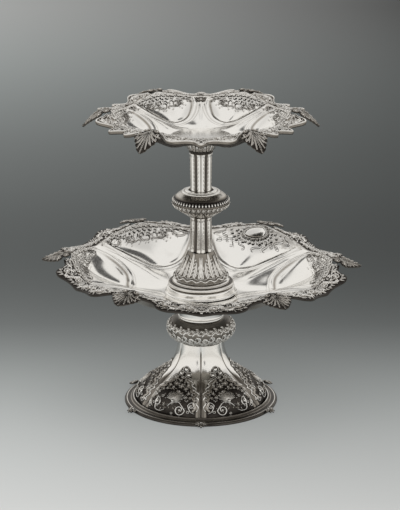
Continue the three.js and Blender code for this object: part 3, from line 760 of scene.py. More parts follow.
def foot_panel():
    """Cartouche on one lobe of the foot: knobbed crest, flowers, fan and bold volutes below."""
    d = Drawing()
    for u, v, r in ((0.5, 71, 4.0), (-5.6, 65, 3.6), (6.4, 64, 3.6), (-10, 57, 3.2), (11, 55, 3.4)):
        around = np.linspace(0, math.tau, 17)
        d.stroke(np.stack([u + r * np.cos(around), v + r * np.sin(around)], 1), 0.75, 1.0)
        d.bead(u, v, 0.72 * r, 1.2)
    for side in (-1, 1):
        edge = np.linspace(6, 56, 30)
        wave = panel_half(edge) - 2.4 + 1.5 * np.sin(edge * 0.62 + side)
        d.stroke(np.stack([side * wave, edge], 1), 1.0, 1.2, BRIGHT_WIRE)
        d.stroke(np.stack([side * (wave - 4.6 - 1.2 * np.sin(edge * 0.35)), edge], 1), 1.7, 1.3, RIBBON)
        for v in np.arange(10, 54, 4.4):
            turn = math.pi / 2 - side * 0.9
            d.petal(side * (panel_half(v) - 8), v, turn, 5.4, 1.1, 1.2, VEINED, side * 0.7)
    d.spiral(15.5, 8.5, 1.8, 7.0, -1.0, 1.15, 0.95, 1.8, 1.7, ((13, 18), (4, 17), (-2, 11)))
    d.spiral(-20, 14, 1.6, 6.0, 0.6, 1.2, 0.9, 1.6, 1.5, ((-22, 5), (-13, 3.5), (-6, 7)))
    d.spiral(30, 14, 1.4, 4.6, 2.4, 1.1, 0.8, 1.4, 1.3, ((30, 7), (36, 4)))
    d.spiral(-34, 7, 1.3, 3.8, -0.4, 1.1, 0.8, 1.3, 1.2)
    d.spiral(-29, 23, 1.3, 4.2, 2.0, 1.1, 0.8, 1.3, 1.2)
    d.fan(3, 20, 15, 1.45, 2.7, 15, 0.8, 1.3)
    d.bead(3, 19.5, 2.1, 1.8)
    for u, v, r in (
        (-4, 47, 3.6), (5, 44, 3.8), (0, 53, 3.0), (-12, 43, 3.2), (13, 40, 3.2), (-19, 33, 3.2),
        (20, 32, 3.2), (-8, 13, 3.2), (25, 25, 3.0), (-30, 26, 2.8),
    ):
        d.flower(u, v, r, 5, 0.3 * u, 1.5, DULL_PETAL)
    for k, (u, v, turn) in enumerate((
        (-12, 35, 0.4), (12, 46, 2.2), (-6, 39, -0.9), (22, 38, 1.7), (-22, 27, 1.2), (-15, 22, 2.6),
        (20, 24, 0.3), (-2, 60, 1.2), (6, 33, -0.4), (-27, 12, 0.2), (27, 5, -0.2), (5, 4.5, 0.1),
        (-17, 48, 1.5), (17, 50, 1.2),
    )):
        way = (-1) ** k
        d.scroll(u, v, 10, turn, 1.4 * way, (3.4 * way, 3.6 * way), 0.6, 1.3, 1.4)
    dots = np.random.default_rng(4)
    for _ in range(150):
        v = dots.uniform(3, 60)
        u = dots.uniform(-1, 1) * (panel_half(v) - 4)
        if dots.random() < 0.4:
            d.bead(u, v, dots.uniform(0.5, 0.85), 1.3)
        else:
            turn = dots.uniform(0, math.tau)
            length = dots.uniform(3, 5)
            d.petal(u, v, turn, length, 0.75, 1.1, DULL_PETAL, dots.uniform(-1, 1))
    return d


def distances(x, y, marks):
    """Distance of each of many points from the nearest of some marks."""
    best = np.empty(len(x))
    for part in np.array_split(np.arange(len(x)), len(x) // 4000 + 1):
        gap = (x[part, None] - marks[:, 0]) ** 2 + (y[part, None] - marks[:, 1]) ** 2
        best[part] = np.sqrt(gap.min(1))
    return best


def near_strokes(drawing, u, v, near, far):
    """1 close to a drawing's strokes, falling to 0 away from them. u and v in millimetres."""
    marks = np.concatenate([path for path, *_ in drawing.strokes])
    spots = np.stack([u.reshape(-1), v.reshape(-1)], 1)
    picked = ((spots > marks.min(0) - far) & (spots < marks.max(0) + far)).all(1)
    close = np.zeros(len(spots))
    close[picked] = 1 - smooth(distances(spots[picked, 0], spots[picked, 1], marks), near, far)
    return close.reshape(u.shape)


def foot_dome():
    outline = dome_outline()
    shares = np.linspace(0, 1, FOOT_ROWS)
    angle = round_angles(SHEET_COLUMNS)
    r, z = outline(angle, shares[None, :])
    v = np.interp(shares, *outline_lengths(outline, 0.0))[None, :] / MM + 0 * angle
    middle_r, _ = outline(0.0 * shares, shares)
    u = (angle - np.round(angle / LOBE_ANGLE) * LOBE_ANGLE) * middle_r[None, :] / MM
    off_valley = (1 - valley_share(angle)) * HALF_LOBE_DEGREES
    strip = off_valley * np.radians(1) * middle_r[None, :] / MM
    beyond = np.abs(u) - panel_half(v)
    ground = 0.93 * (1 - smooth(beyond, -1.2, 1.0)) * smooth(strip, 5.0, 7.5) * (1 - smooth(v, 73, 76))
    # Painted shade: a brown band down the lower part of each valley groove, and a dark line along the
    # groove itself.
    painted_channel_shade = 0.62 * (1 - smooth(strip, 4.0, 7.0)) * (1 - smooth(v, 44, 64))
    painted_crease_shade = 0.95 * bell(strip, 0, 0.8) * (1 - smooth(v, 90, 98))
    shade = np.maximum(np.maximum(ground, painted_channel_shade), painted_crease_shade)
    front = at(r - MM * bell(strip, 0, 1.0), angle, z)
    shades = np.concatenate([shade, np.full_like(shade, 0.6)], 1)
    add_piece("foot_dome_sheet", ring_mesh(walled(front), shades), "chased", LOWER_BODY, ["foot_dome"])
    panels = raised(foot_panel(), sheet_plane(outline, 0.0), sheet_plane(outline, LOBE_ANGLE))
    ring_piece("foot_chasing", panels, "chased", LOWER_BODY, (), LOBES // 2, 0.0, 2 * LOBE_ANGLE)


def rim_moulding():
    outer = reach("foot_rim_moulding")
    height = top("foot_rim_moulding")
    inner = 84.3 * MM
    ledge = inner + 3.2 * MM
    width = outer - ledge
    across = [
        (0.0, 0.8), (0.06, 0.86), (0.13, 0.99), (0.2, 1.0), (0.26, 0.88), (0.32, 0.74), (0.45, 0.6),
        (0.58, 0.53), (0.7, 0.5), (0.74, 0.55), (0.8, 0.55), (0.84, 0.48), (0.93, 0.42), (0.985, 0.28),
        (1.0, 0.16), (0.97, 0.0),
    ]
    face = through([(ledge + u * width, v * height) for u, v in across], np.linspace(0, 1, 76))
    face[:, 0] = np.minimum(face[:, 0], outer)
    face[:, 1] = np.clip(face[:, 1], 0, height)
    loop = [(inner, 0.8 * height), *face, (inner, 0.0)]
    u = (face[:, 0] - ledge) / width
    # Painted shade and painted highlights: the moulding is dark, as if it mirrored the bowl's underside,
    # with three lighter lines along its bead and fillets.
    shade = 0.88 - 0.86 * bell(u, 0.17, 0.05) - 0.5 * bell(u, 0.4, 0.04) - 0.86 * bell(u, 0.77, 0.045)
    mesh = turned_mesh(loop, 216, [0.9, *shade, 0.9])
    add_piece("rim_moulding", mesh, "polished", LOWER_BODY, ["foot_rim_moulding"])


def rim_bosses():
    outer = reach("foot_rim_moulding")
    d = Drawing()
    d.fan(0, -1.5, 9.5, math.pi / 2, 2.5, 7, 1.45, 2.2)
    d.bead(0, 0, 2.4, 3.2)
    d.bead(0, 7.6, 1.5, 2.0)
    d.scroll(5.2, -0.5, 12, 0.3, 1.4, (3, 3), 0.8, 1.8, 1.3)

    def surface(u, v):
        height = 0.62 * top("foot_rim_moulding") - 0.24 * np.clip(v, -2 * MM, 8 * MM)
        return np.stack([outer + v, u, height], -1)

    shell = raised(d.mirrored(), surface, side=-1)
    ring_piece("rim_bosses", shell, "cast", LOWER_BODY, six("rim_boss"), LOBES, LOBE_ANGLE / 2)


# Knop and collet


def band_relief(name, curve, motif, repeats, body, start=0.0):
    """Motif chased side by side round a turned shell."""
    mesh = raised(motif, sheet_plane(round_outline(curve), 0.0, start=start))
    ring_piece(name, mesh, "chased", body, (), repeats, 0.0, math.tau / repeats)


def shell_piece(name, curve, shade, kind, body, node, rows=40):
    """Turned shell along a curve. Shade gives the tarnish and painted shade at a share of the curve."""
    t = np.linspace(0, 1, rows)
    p = curve(t)
    marks = np.concatenate([shade(t) + 0 * t, np.full(rows, 0.6)])
    loops = walled(at(p[:, 0], round_angles(SHELL_COLUMNS), p[:, 1]))
    add_piece(name, ring_mesh(loops, marks), kind, body, [node])


def leaf_scroll_motif(height, width, seed):
    """Leaf and scroll for a chased band, filling height by width millimetres, among small leaves."""
    filler = Drawing()
    filler.thicket(1.0, width / 2, 0.5, height - 0.5, seed, int(0.11 * width * height), 0.6)
    d = filler.mirrored()
    mid = height / 2
    d.scroll(0, mid, 1.5 * width, 0.5, 0.3, (-3.2, 3.2), 0.11 * width, 1.2, 1.3, BRIGHT_WIRE)
    for side in (-1, 1):
        lean = 1.9 if side < 0 else -1.2
        inner = (0.3 * side * width, mid - 0.1 * side * height)
        d.petal(*inner, lean, 0.42 * height, 0.13 * width, 1.2, PETAL, 0.6)
        turn = 1.05 - 1.55 * side
        d.petal(0.05 * side * width, mid, turn, 0.34 * height, 0.11 * width, 1.1, PETAL, 0.5 * side)
        outer = (0.42 * side * width, mid + 0.3 * side * height)
        d.petal(*outer, 1.57 - 1.2 * side, 0.3 * height, 0.1 * width, 1.1, PETAL, 0.5)
        d.bead(0.46 * side * width, mid - 0.34 * side * height, 0.09 * width, 1.1)
    d.flower(0.48 * width, mid + 0.2 * height, 0.16 * height, 5, 0.4, 1.2)
    d.bead(0.1 * width, mid + 0.38 * height, 0.08 * width, 1.1)
    return d


def knop():
    seam = top("knop_lower") + SEAM_GAP
    widest = reach("knop_lower")
    lower = profile((NECK_R, low("knop_lower")), (widest, seam), [
        (0, 0), (0.1, 0.05), (0.42, 0.2), (0.8, 0.5), (0.96, 0.78), (1, 1),
    ])
    upper = profile((widest, seam), (27.5 * MM, top("knop_upper")), [
        (0, 0), (0.03, 0.25), (0.14, 0.5), (0.42, 0.78), (0.75, 0.93), (1, 1),
    ])

    def lower_film(t):
        return 0.6 * smooth(t, 0.03, 0.1)

    # Painted shade: the upper slope is dark, as if it mirrored the bowl's underside and lay in the collet's
    # shadow, and bright only up at the collet.
    def upper_painted_shade(t):
        return 0.62 + 0.06 * smooth(t, 0.35, 0.5) - 0.6 * smooth(t, 0.84, 0.93)

    shell_piece("knop_lower_shell", lower, lower_film, "chased", LOWER_BODY, "knop_lower")
    shell_piece("knop_upper_shell", upper, upper_painted_shade, "polished", LOWER_BODY, "knop_upper")
    band_relief("knop_chasing_lower", lower, leaf_scroll_motif(15, 17, 3), 15, LOWER_BODY, 8 * MM)
    band_relief("knop_chasing_upper", upper, leaf_scroll_motif(9, 12, 6), 22, LOWER_BODY, 0.3 * MM)


def collet():
    base = low("bowl_collet")
    ceiling = top("bowl_collet")
    flange = reach("bowl_collet")
    r = 29.5 * MM
    wall = sheet_sizes().wall
    outer = through([
        (r, base), (r + 0.7 * MM, base + 0.8 * MM), (r + 0.5 * MM, base + 2.6 * MM),
        (r - 0.6 * MM, base + 3.4 * MM), (r - 1 * MM, base + 8 * MM),
        (r - 0.8 * MM, mix(base, ceiling, 0.6)), (r + 0.8 * MM, ceiling - 5 * MM),
        (flange - 0.5 * MM, ceiling - 1 * MM), (flange, ceiling),
    ], np.linspace(0, 1, 60))
    inner = [(r - wall, ceiling), (r - 2 * wall, mix(base, ceiling, 0.5)), (r - 2 * wall, base)]
    mesh = turned_mesh([*outer, *inner], 144, np.repeat([0.02, 0.5], [60, 3]))
    add_piece("collet", mesh, "polished", LOWER_BODY, ["bowl_collet"])


# Bowls


def hollow_edge(inner_share, side_degrees):
    """Right half of the ridge round a hollow, as (degrees from the lobe's middle, share) points."""
    points = [
        (0, inner_share), (0.36, inner_share + 0.012), (0.68, inner_share + 0.06),
        (0.9, inner_share + 0.17), (1, inner_share + 0.32), (1.01, 0.84), (0.98, 1.02),
    ]
    return through(np.array(points) * (side_degrees, 1), np.linspace(0, 1, 90))


def inside_hollow(outline, angle, share, inner_share, side_degrees):
    """Distance to the hollow's edge, below 0 outside it, in millimetres on the plan."""
    edge = hollow_edge(inner_share, side_degrees)
    edge_angle = np.radians(edge[:, 0])
    edge_r, _ = outline(edge_angle, np.minimum(edge[:, 1], 1))
    marks = np.stack([edge_r * np.cos(edge_angle), edge_r * np.sin(edge_angle)], 1)
    local = np.abs(angle - np.round(angle / LOBE_ANGLE) * LOBE_ANGLE)
    r, _ = outline(local, share)
    x = r * np.cos(local)
    y = r * np.sin(local)
    gap = distances(x.reshape(-1), y.reshape(-1), marks).reshape(r.shape)
    wide = np.interp(share, edge[:, 1], edge_angle, left=0)
    return np.where((share > inner_share) & (local < wide), gap, -gap) / MM


def bowl_sheet(name, outline, spray, bowl):
    """Raised sheet with a hollow in each lobe, a smooth ridge round it and a rib in each valley."""
    angle = round_angles(SHEET_COLUMNS)
    shares = np.linspace(0, 1, SHEET_ROWS) ** 0.9
    grid = shares[None, :] + 0 * angle
    r, z = outline(angle + 0 * grid, grid)
    signed = inside_hollow(outline, angle + 0 * grid, grid, bowl["inner"], bowl["side"])
    ridge = sheet_sizes().ridge_height * bell(signed, 0, sheet_sizes().ridge_width / MM)
    dip = -bowl["dip"] * smooth(signed, 0, 14) * (1 - smooth(grid, 0.86, 1.0))
    off_valley = (1 - valley_share(angle)) * HALF_LOBE_DEGREES
    rib = 0.9 * MM * bell(off_valley, 0, 1.3) * smooth(grid, 0.15, 0.4)
    knob = -bowl["knob"] * bell(off_valley, 0, 4.2) * bell(grid, 0.8, 0.13)
    calm = smooth(grid, 0.02, 0.14) * (1 - smooth(grid, 0.985, 1.0))
    lift = (ridge * (1 - 0.6 * smooth(grid, 0.8, 1.0)) + dip + rib + knob) * calm
    front = at(r, angle, z)
    normal = -sheet_normal(front)
    normal *= np.sign(normal[..., 2:] + 1e-9)
    front = front + normal * lift[..., None]
    picks = np.unique(np.linspace(0, SHEET_ROWS - 1, UNDER_ROWS).astype(int))
    back = (front - normal * sheet_sizes().wall)[:, picks][:, ::-1]
    lengths = np.interp(shares, *outline_lengths(outline, 0.0))
    v = (lengths[-1] - lengths)[None, :] / MM + 0 * angle
    middle_r, _ = outline(0.0 * shares, shares)
    u = (angle - np.round(angle / LOBE_ANGLE) * LOBE_ANGLE) * middle_r[None, :] / MM
    # Oxide and painted shade round the chased strokes, as dark rims at their feet.
    ground = 0.2 * near_strokes(spray, u / bowl["spray_scale"], v / bowl["spray_scale"], 0.7, 1.9)
    # Painted shade along the ridge round each hollow: two thin lines outside it and a soft band inside,
    # strongest towards the floor.
    painted_crease_shade = 0.2 * bell(signed, -7.0, 0.7) + 0.2 * bell(signed, -3.6, 0.9)
    painted_crease_shade = painted_crease_shade + (0.1 + 0.35 * (1 - smooth(grid, 0.55, 0.8))) * bell(signed, 3.6, 1.7)
    # Painted shade on the sheet's underside.
    under = np.full((SHEET_COLUMNS, len(picks)), bowl["under"])
    shades = np.concatenate([ground + painted_crease_shade * calm, under], 1)
    mesh = leaned(ring_mesh(np.concatenate([front, back], 1), shades), bowl)
    add_piece(name, mesh, "polished", bowl["body"])


def lobe_spray(wide=1.0):
    """Flowers and leaves thick along a lobe's edge, with thin tendrils hanging from them."""
    d = Drawing()
    for u, v, r in (
        (0, 4.5, 3.6), (8, 5, 3.2), (16, 4.5, 3.0), (24, 4.5, 2.8), (4, 11, 3.0), (12, 11, 2.8),
        (33, 4, 2.4), (20, 11, 2.2),
    ):
        d.flower(u * wide, v, r, 5, 0.25 * u, 0.6)
    for u, v, turn, length in (
        (28, 9, 0.4, 6), (36, 8, 0.1, 6), (8, 15, 1.2, 6), (17, 14, 0.9, 6), (0, 15, 1.57, 6),
        (40, 3, 0.1, 6), (48, 4, 0.3, 6), (27, 3, -0.3, 5), (43, 9, 0.5, 5), (54, 3, 0.1, 6),
        (60, 4, 0.2, 5), (24, 14, 0.4, 5), (32, 13, 0.8, 5), (5, 19, 1.0, 5),
    ):
        d.petal(u * wide, v, turn, length, 1.0, 0.5, PETAL, 0.3)
        d.petal(u * wide, v, turn + 1.1, 0.7 * length, 0.8, 0.45, PETAL, 0.3)
    for u, v, length, turn, bend, curls in (
        (38, 12, 34, -0.3, 0.9, (3.4, -3.8)), (20, 19, 30, -0.9, 1.1, (3.0, 4.6)),
        (56, 8, 26, 0.15, -0.8, (-3.0, 4.0)), (31, 20, 20, -1.5, -0.9, (-3.8, -3.8)),
        (7, 23, 20, -1.3, 0.7, (-3.4, 4.0)), (47, 16, 16, 0.6, 0.9, (3.6, 3.6)),
        (14, 27, 18, 0.4, 1.0, (3.4, -3.4)), (26, 26, 16, -0.6, -0.8, (-3.4, 3.4)),
        (64, 12, 16, 0.9, 0.9, (3.4, 3.4)),
    ):
        d.scroll(u * wide, v, length, turn, bend, curls, 0.42, 0.35, 1.1, LINE)
    d.line([(62 * wide, 5), (66 * wide, 9), (72 * wide, 12)])
    d.line([(44 * wide, 22), (52 * wide, 22), (60 * wide, 18)])
    for u, v in ((42, 19), (46, 25), (25, 30), (13, 33), (62, 15), (35, 28), (2, 33), (27, 34), (53, 13)):
        d.bead(u * wide, v, 0.6, 0.4)
    d.thicket(2.9 * wide, 28, 0.8, 6.0, 5, 70, 0.75)
    return d.mirrored()


CARTOUCHE_SHIFT = 7.0


def cartouche_spray():
    """Plain oval reserve framed by scrolls, in place of the flowers on one lobe."""
    d = Drawing()
    across = np.linspace(-14, 14, 25)
    oval = np.sqrt(1 - (across / 15) ** 2)
    d.stroke(np.stack([across + CARTOUCHE_SHIFT, 14 + 0 * across], 1), 9.6 * oval, 3.4 * oval, TILTED)
    half = Drawing()
    around = np.linspace(0, math.pi, 30)
    half.stroke(np.stack([16 * np.sin(around), 14 - 10.5 * np.cos(around)], 1), 0.7, 0.8, BRIGHT_WIRE)
    for k in range(11):
        turn = -1.42 + k * 0.29
        u = 19.6 * math.cos(turn)
        v = 14 + 13.2 * math.sin(turn)
        half.scroll(u, v, 9, turn + 1.3, 1.6, (3.4, 3.4), 0.6, 0.7, 1.4)
        for bend, length, width in ((0.4, 5, 1.0), (-0.4, 4, 0.9)):
            way = turn - 0.3 if bend > 0 else turn + 0.6
            half.petal(1.12 * u, 14 + 15.4 * math.sin(turn), way, length, width, 0.6, PETAL, bend)
    for u, v, r in (
        (29, 7, 2.8), (28, 21, 2.8), (34, 13, 2.6), (12, 31, 2.6), (38, 5, 2.2), (22, 28, 2.4),
        (3, 32, 2.4),
    ):
        half.flower(u, v, r, 5, 0.2 * u, 0.6)
    for u, v, length, turn, bend, curls in (
        (42, 18, 30, -0.5, 1.0, (3.2, -3.8)), (54, 8, 26, 0.1, -0.8, (-3.0, 4.0)),
        (11, 38, 24, -0.2, 1.0, (3.4, -3.8)), (34, 27, 22, 0.6, 0.9, (3.4, 3.4)),
        (24, 36, 18, -0.9, 0.8, (3.4, -3.4)), (46, 28, 18, 0.2, 1.0, (3.4, 3.4)),
    ):
        half.scroll(u, v, length, turn, bend, curls, 0.42, 0.4, 1.1, LINE)
    for u, v in ((33, 31), (47, 24), (20, 42), (62, 14), (6, 44)):
        half.bead(u, v, 0.6, 0.5)
    for path, *rest in half.mirrored().strokes:
        d.strokes.append((path + (CARTOUCHE_SHIFT, 0), *rest))
    return d


# under is the darkness of the sheet's underside: painted shade, strongest on the upper dish
LOWER_BOWL = {
    "node": "lower_bowl", "body": LOWER_BODY, "leans": True, "floor_r": 48 * MM, "hole": 6 * MM,
    "valley_r": 163 * MM, "valley_rise": 33.4 * MM, "sweep": 1.2, "inner": 0.36, "side": 25,
    "dip": 1.6 * MM, "knob": 1.4 * MM, "spray_scale": 1.0, "under": 0.5,
}
UPPER_DISH = {
    "node": "upper_dish", "body": UPPER_BODY, "leans": False, "floor_r": 40 * MM, "hole": 0.4 * MM,
    "valley_r": 110 * MM, "valley_rise": 25.4 * MM, "sweep": 1.8, "inner": 0.3, "side": 24.5,
    "dip": 1.3 * MM, "knob": 2.4 * MM, "spray_scale": 0.94, "under": 0.9,
}


def lower_bowl():
    outline = bowl_outline(LOWER_BOWL)
    spray = lobe_spray()
    bowl_sheet("lower_bowl_sheet", outline, spray, LOWER_BOWL)
    flowers = raised(spray, sheet_plane(outline, 0.0, inward=True))
    reserve = raised(cartouche_spray(), sheet_plane(outline, LOBE_ANGLE, inward=True))
    whole = joined([copies(flowers, "chased", LOBES - 1, 2 * LOBE_ANGLE), reserve])
    add_piece("lower_bowl_chasing", leaned(whole, LOWER_BOWL), "chased", LOWER_BODY)


def upper_dish():
    outline = bowl_outline(UPPER_DISH)
    spray = lobe_spray(0.9)
    bowl_sheet("upper_dish_sheet", outline, spray, UPPER_DISH)
    flowers = raised(spray, sheet_plane(outline, 0.0, inward=True), scale=UPPER_DISH["spray_scale"])
    ring_piece("upper_dish_chasing", flowers, "chased", UPPER_BODY)


def bowl_floor(name, bowl):
    """Flat floor disc that the bowl's sheet rises from."""
    wall = sheet_sizes().wall
    z = low(bowl["node"]) + wall
    hole = bowl["hole"]
    r_out = bowl["floor_r"] + 0.2 * MM
    edge = 0.15 * MM
    rows = [hole, *np.linspace(hole + edge, r_out - edge, 8), r_out]
    mesh = turned_mesh([(r, z) for r in rows] + [(r, z - wall) for r in rows[::-1]], 144)
    add_piece(name, leaned(mesh, bowl), "polished", bowl["body"], [bowl["node"]])


# Cast borders and leaves

LOWER_BORDER = {
    "width": 22 * MM, "lobe_drop": 2.5 * MM, "valley_drop": 4 * MM, "flower": 2 * MM, "arc": 7.3 * MM,
    "arc_degrees": 14, "arc_spread": 4.5, "notch": 11 * MM, "notch_degrees": 18.5, "per_degree": 3.0,
    "drawn_width": 26.6 * MM, "ground": 0.97,
}
UPPER_BORDER = {
    "width": 10.5 * MM, "lobe_drop": 2 * MM, "valley_drop": 4 * MM, "flower": 15 * MM, "arc": 16 * MM,
    "arc_degrees": 16.5, "arc_spread": 6, "notch": 5 * MM, "notch_degrees": 20.5, "per_degree": 2.05,
    "drawn_width": 21 * MM, "ground": 0.45,
}
LEAF_ROOT_DEGREES = 4.5
SECTION_GAP = 0.3 * MM / 0.15
DRAWN_DEGREES = 25.2


def border_edges(sheet, size, angle):
    """Inner and outer edge of a border at an angle."""
    across = valley_share(angle)
    degrees = (1 - across) * HALF_LOBE_DEGREES
    edge_r, edge_z = sheet(angle, np.ones_like(angle))
    bumps = size["flower"] * bell(degrees, 0, 3.3)
    bumps = bumps + size["arc"] * bell(degrees, size["arc_degrees"], size["arc_spread"])
    bumps = bumps - size["notch"] * (0.5 + 0.5 * np.tanh((degrees - size["notch_degrees"]) / 1.5))
    drop = mix(size["lobe_drop"], size["valley_drop"], across)
    return edge_r + 0.3 * MM, edge_z, edge_r + size["width"] + bumps, edge_z - drop


def border_outline(sheet, size):
    """Top of a border: raised at the sheet and at its edge, hollow between."""

    def outline(angle, share):
        inner_r, inner_z, outer_r, outer_z = border_edges(sheet, size, angle + 0 * share)
        hollow = 1.1 * MM * np.sin(math.pi * np.clip(share, 0, 1))
        rise = 0.3 * MM + 1.3 * MM * smooth(share, 0, 0.2)
        return mix(inner_r, outer_r, share), mix(inner_z, outer_z, share) + rise - hollow

    return outline


def border_section_mesh(sheet, size, valley):
    """Plate of one section, dark between the raised work with oxide and painted shade."""
    half = math.radians(HALF_LOBE_DEGREES - LEAF_ROOT_DEGREES) - SECTION_GAP
    angles = valley + np.linspace(-half, half, 101)
    shares = np.linspace(0, 1, 18)
    angle = angles[:, None] + 0 * shares
    r, z = border_outline(sheet, size)(angle, shares + 0 * angle)
    inner_r, inner_z, outer_r, outer_z = border_edges(sheet, size, angles)
    under = [
        at(mix(inner_r, outer_r, share), angles, mix(inner_z, outer_z, share) - 1.4 * MM)
        for share in (0.97, 0.6, 0.0)
    ]
    points, faces = strip_faces(np.concatenate([at(r, angle, z), np.stack(under, 1)], 1))
    # Oxide and painted shade on the ground between the raised work, with a darker painted band in the gap
    # at 0.82 of the width.
    ground = np.maximum(size["ground"] * smooth(shares, 0, 0.12), 0.97 * bell(shares, 0.82, 0.06))
    return plain_mesh(points, faces, np.tile([*ground, 0.8, 0.7, 0.2], len(angles)))


def border_plane(sheet, size, valley):
    """u runs round the border by its degrees, v out from the sheet by its share of the width."""
    outline = border_outline(sheet, size)

    def surface(u, v):
        angle = valley + np.radians(u / MM / size["per_degree"])
        r, z = outline(angle, v / size["drawn_width"])
        return at(r, angle, z)

    return surface


def upper_border_ornament(size):
    """Double edge wire, valley flower, volutes and scrolls of half a border section, mirrored."""
    d = Drawing()
    k = size["per_degree"]
    along = np.linspace(-0.01, DRAWN_DEGREES * k, 110)
    for v, width, height in ((19.9, 1.2, 2.4), (14.6, 1.0, 2.0)):
        d.stroke(np.stack([along, np.full(110, v)], 1), width, height, BRIGHT_WIRE)
    d.thicket(k, DRAWN_DEGREES, 1.0, 12.5, 21, 46, 0.8)
    d.flower(0, 8.0, 7.5, 4, math.pi / 4, 2.6)
    d.bead(5.6, 13.6, 1.2, 1.8)
    d.bead(6.6, 7.2, 1.1, 1.6)
    for turn in (0.1, 0.8, -0.6):
        d.petal(6, 10 + 2 * turn, turn, 8.0, 1.5, 1.5, VEINED, -0.4)
    d.scroll(7.6 * k, 11.0, 10 * k, 0.35, -1.5, (-3.9, -3.9), 1.1, 2.0, 1.6)
    d.scroll(14.4 * k, 8.6, 10 * k, -0.2, 1.5, (3.9, 3.9), 1.1, 2.0, 1.6)
    d.scroll(21.2 * k, 10.5, 9 * k, 1.0, -1.6, (-4.3, -4.3), 1.2, 2.2, 1.7)
    d.flower(11.2 * k, 5.0, 3.0, 5, 0.3, 1.6)
    d.flower(17.6 * k, 13.6, 3.2, 5, 0.7, 1.6)
    for u, v, turn in (
        (4.6, 4.4, -0.4), (8.6, 14.6, 0.2), (12.4, 13.8, -0.3), (15.4, 4.4, 0.4), (19.0, 4.8, -0.6),
        (21.6, 15.2, 0.9), (10.6, 10, 1.2), (17.6, 7.4, 1.0), (23.8, 6.0, 0.4),
    ):
        d.petal(u * k, v, turn, 6.0, 1.2, 1.3, VEINED, 0.5)
        d.petal(u * k, v, turn + 1.0, 4.6, 1.0, 1.2, VEINED, 0.5)
    for u in np.arange(1.6, 25, 1.9):
        d.bead(u * k, 17.2, 0.7, 1.3)
    return d.mirrored()


def lower_border_ornament(size):
    """Open scrolls, leaf tips along the edge, shells and flowers of half a border section, mirrored."""
    d = Drawing()
    k = size["per_degree"]
    vine = np.linspace(-0.01, DRAWN_DEGREES, 84)
    d.stroke(np.stack([vine * k, 12.5 + 6.2 * np.cos(vine * math.tau / 11)], 1), 1.0, 2.4, BRIGHT_WIRE)
    d.thicket(k, DRAWN_DEGREES, 0.5, 20, 8, 42)
    for turn, length in ((math.pi / 2, 15), (1.05, 13.5), (0.6, 11), (0.2, 8)):
        d.petal(1.4 * math.cos(turn), 8.5, turn, length, 1.7, 2.4, VEINED, 0.2)
    d.bead(0, 7.5, 2.0, 2.8)
    d.scroll(5.2 * k, 16.5, 9.5 * k, 0.15, -1.6, (-4.2, -4.0), 1.25, 2.3, 1.6)
    d.scroll(4.4 * k, 6.0, 8 * k, 0.1, 1.6, (4.0, 4.0), 1.0, 1.8, 1.5)
    d.scroll(11.6 * k, 12.5, 11 * k, 0.25, 1.4, (4.0, -4.2), 1.2, 2.2, 1.6)
    d.scroll(15.6 * k, 15.5, 9.5 * k, -0.35, -1.7, (-4.2, -4.2), 1.25, 2.3, 1.6)
    d.scroll(17.2 * k, 6.5, 8.5 * k, 0.2, 1.5, (4.0, 4.0), 1.0, 1.8, 1.5)
    d.scroll(22.4 * k, 12.5, 9 * k, 0.1, -1.6, (-4.2, -4.2), 1.25, 2.2, 1.7)
    for u, v, r in (
        (8.2, 9.2, 3.6), (13.6, 6.0, 3.2), (19.4, 12.6, 3.5), (11.4, 18.4, 3.0), (24.0, 5.2, 3.0),
        (6.6, 12.4, 2.8),
    ):
        d.flower(u * k, v, r, 5, 0.3 * u, 1.9)
    for u, v, turn in (
        (2.6, 17.6, 1.3), (4.6, 19.0, 1.5), (6.6, 18.6, 1.2), (8.6, 17.8, 1.0), (10.2, 16.4, 1.9),
        (12.6, 18.6, 1.7), (14.2, 18.8, 1.4), (16.2, 18.6, 1.2), (18.0, 17.6, 1.0), (19.8, 16.8, 1.6),
        (21.4, 17.4, 1.3), (23.2, 17.2, 1.0), (24.8, 15.6, 0.6),
    ):
        d.petal(u * k, v, turn, 7.2, 1.15, 1.9, VEINED, -0.5)
        d.petal(u * k + 1.2, v, turn - 0.8, 5.4, 0.9, 1.7, VEINED, -0.5)
    for u, v, turn in (
        (2.2, 4.6, 0.3), (7.4, 5.2, 0.4), (9.8, 13.4, -0.4), (10.6, 4.6, 0.2), (15.4, 10.4, 0.3),
        (20.6, 6.2, 0.5), (21.8, 8.6, -0.5), (14.4, 13.0, 2.6), (17.6, 11.0, 2.2),
    ):
        d.petal(u * k, v, turn, 6.0, 1.2, 1.5, VEINED, 0.6)
        d.petal(u * k, v, turn + 1.1, 4.8, 1.0, 1.4, VEINED, 0.5)
    for u, v in (
        (3.4, 11.4), (9.6, 19.6), (12.8, 9.4), (18.6, 8.8), (20.8, 14.6), (6.0, 21.4), (17.0, 21.0),
        (25.0, 10.5),
    ):
        d.bead(u * k, v, 0.95, 1.9)
    return d.mirrored()


LEAF_FINGERS = (
    (0.0, 0.985, 2.7, 0.0), (0.3, 0.87, 2.3, 0.02), (0.56, 0.73, 2.2, 0.05), (0.8, 0.58, 2.1, 0.07),
    (0.96, 0.43, 1.9, 0.06),
)


def border_leaf_surface(sheet, size, leaf):
    inner_r, inner_z, _, _ = (float(x) for x in border_edges(sheet, size, np.array(0.0)))

    def surface(u, v):
        along = v / leaf["length"]
        crown = LEAF_CROWN * np.sin(math.pi * np.clip(1.4 * along, 0, 1))
        z = inner_z + crown - leaf["droop"] * np.maximum(along, 0) ** leaf["curl"]
        z = z - LEAF_FOLD * (u / leaf["half"]) ** 2
        return np.stack([inner_r + v, u + 0 * v, z], -1)

    return surface


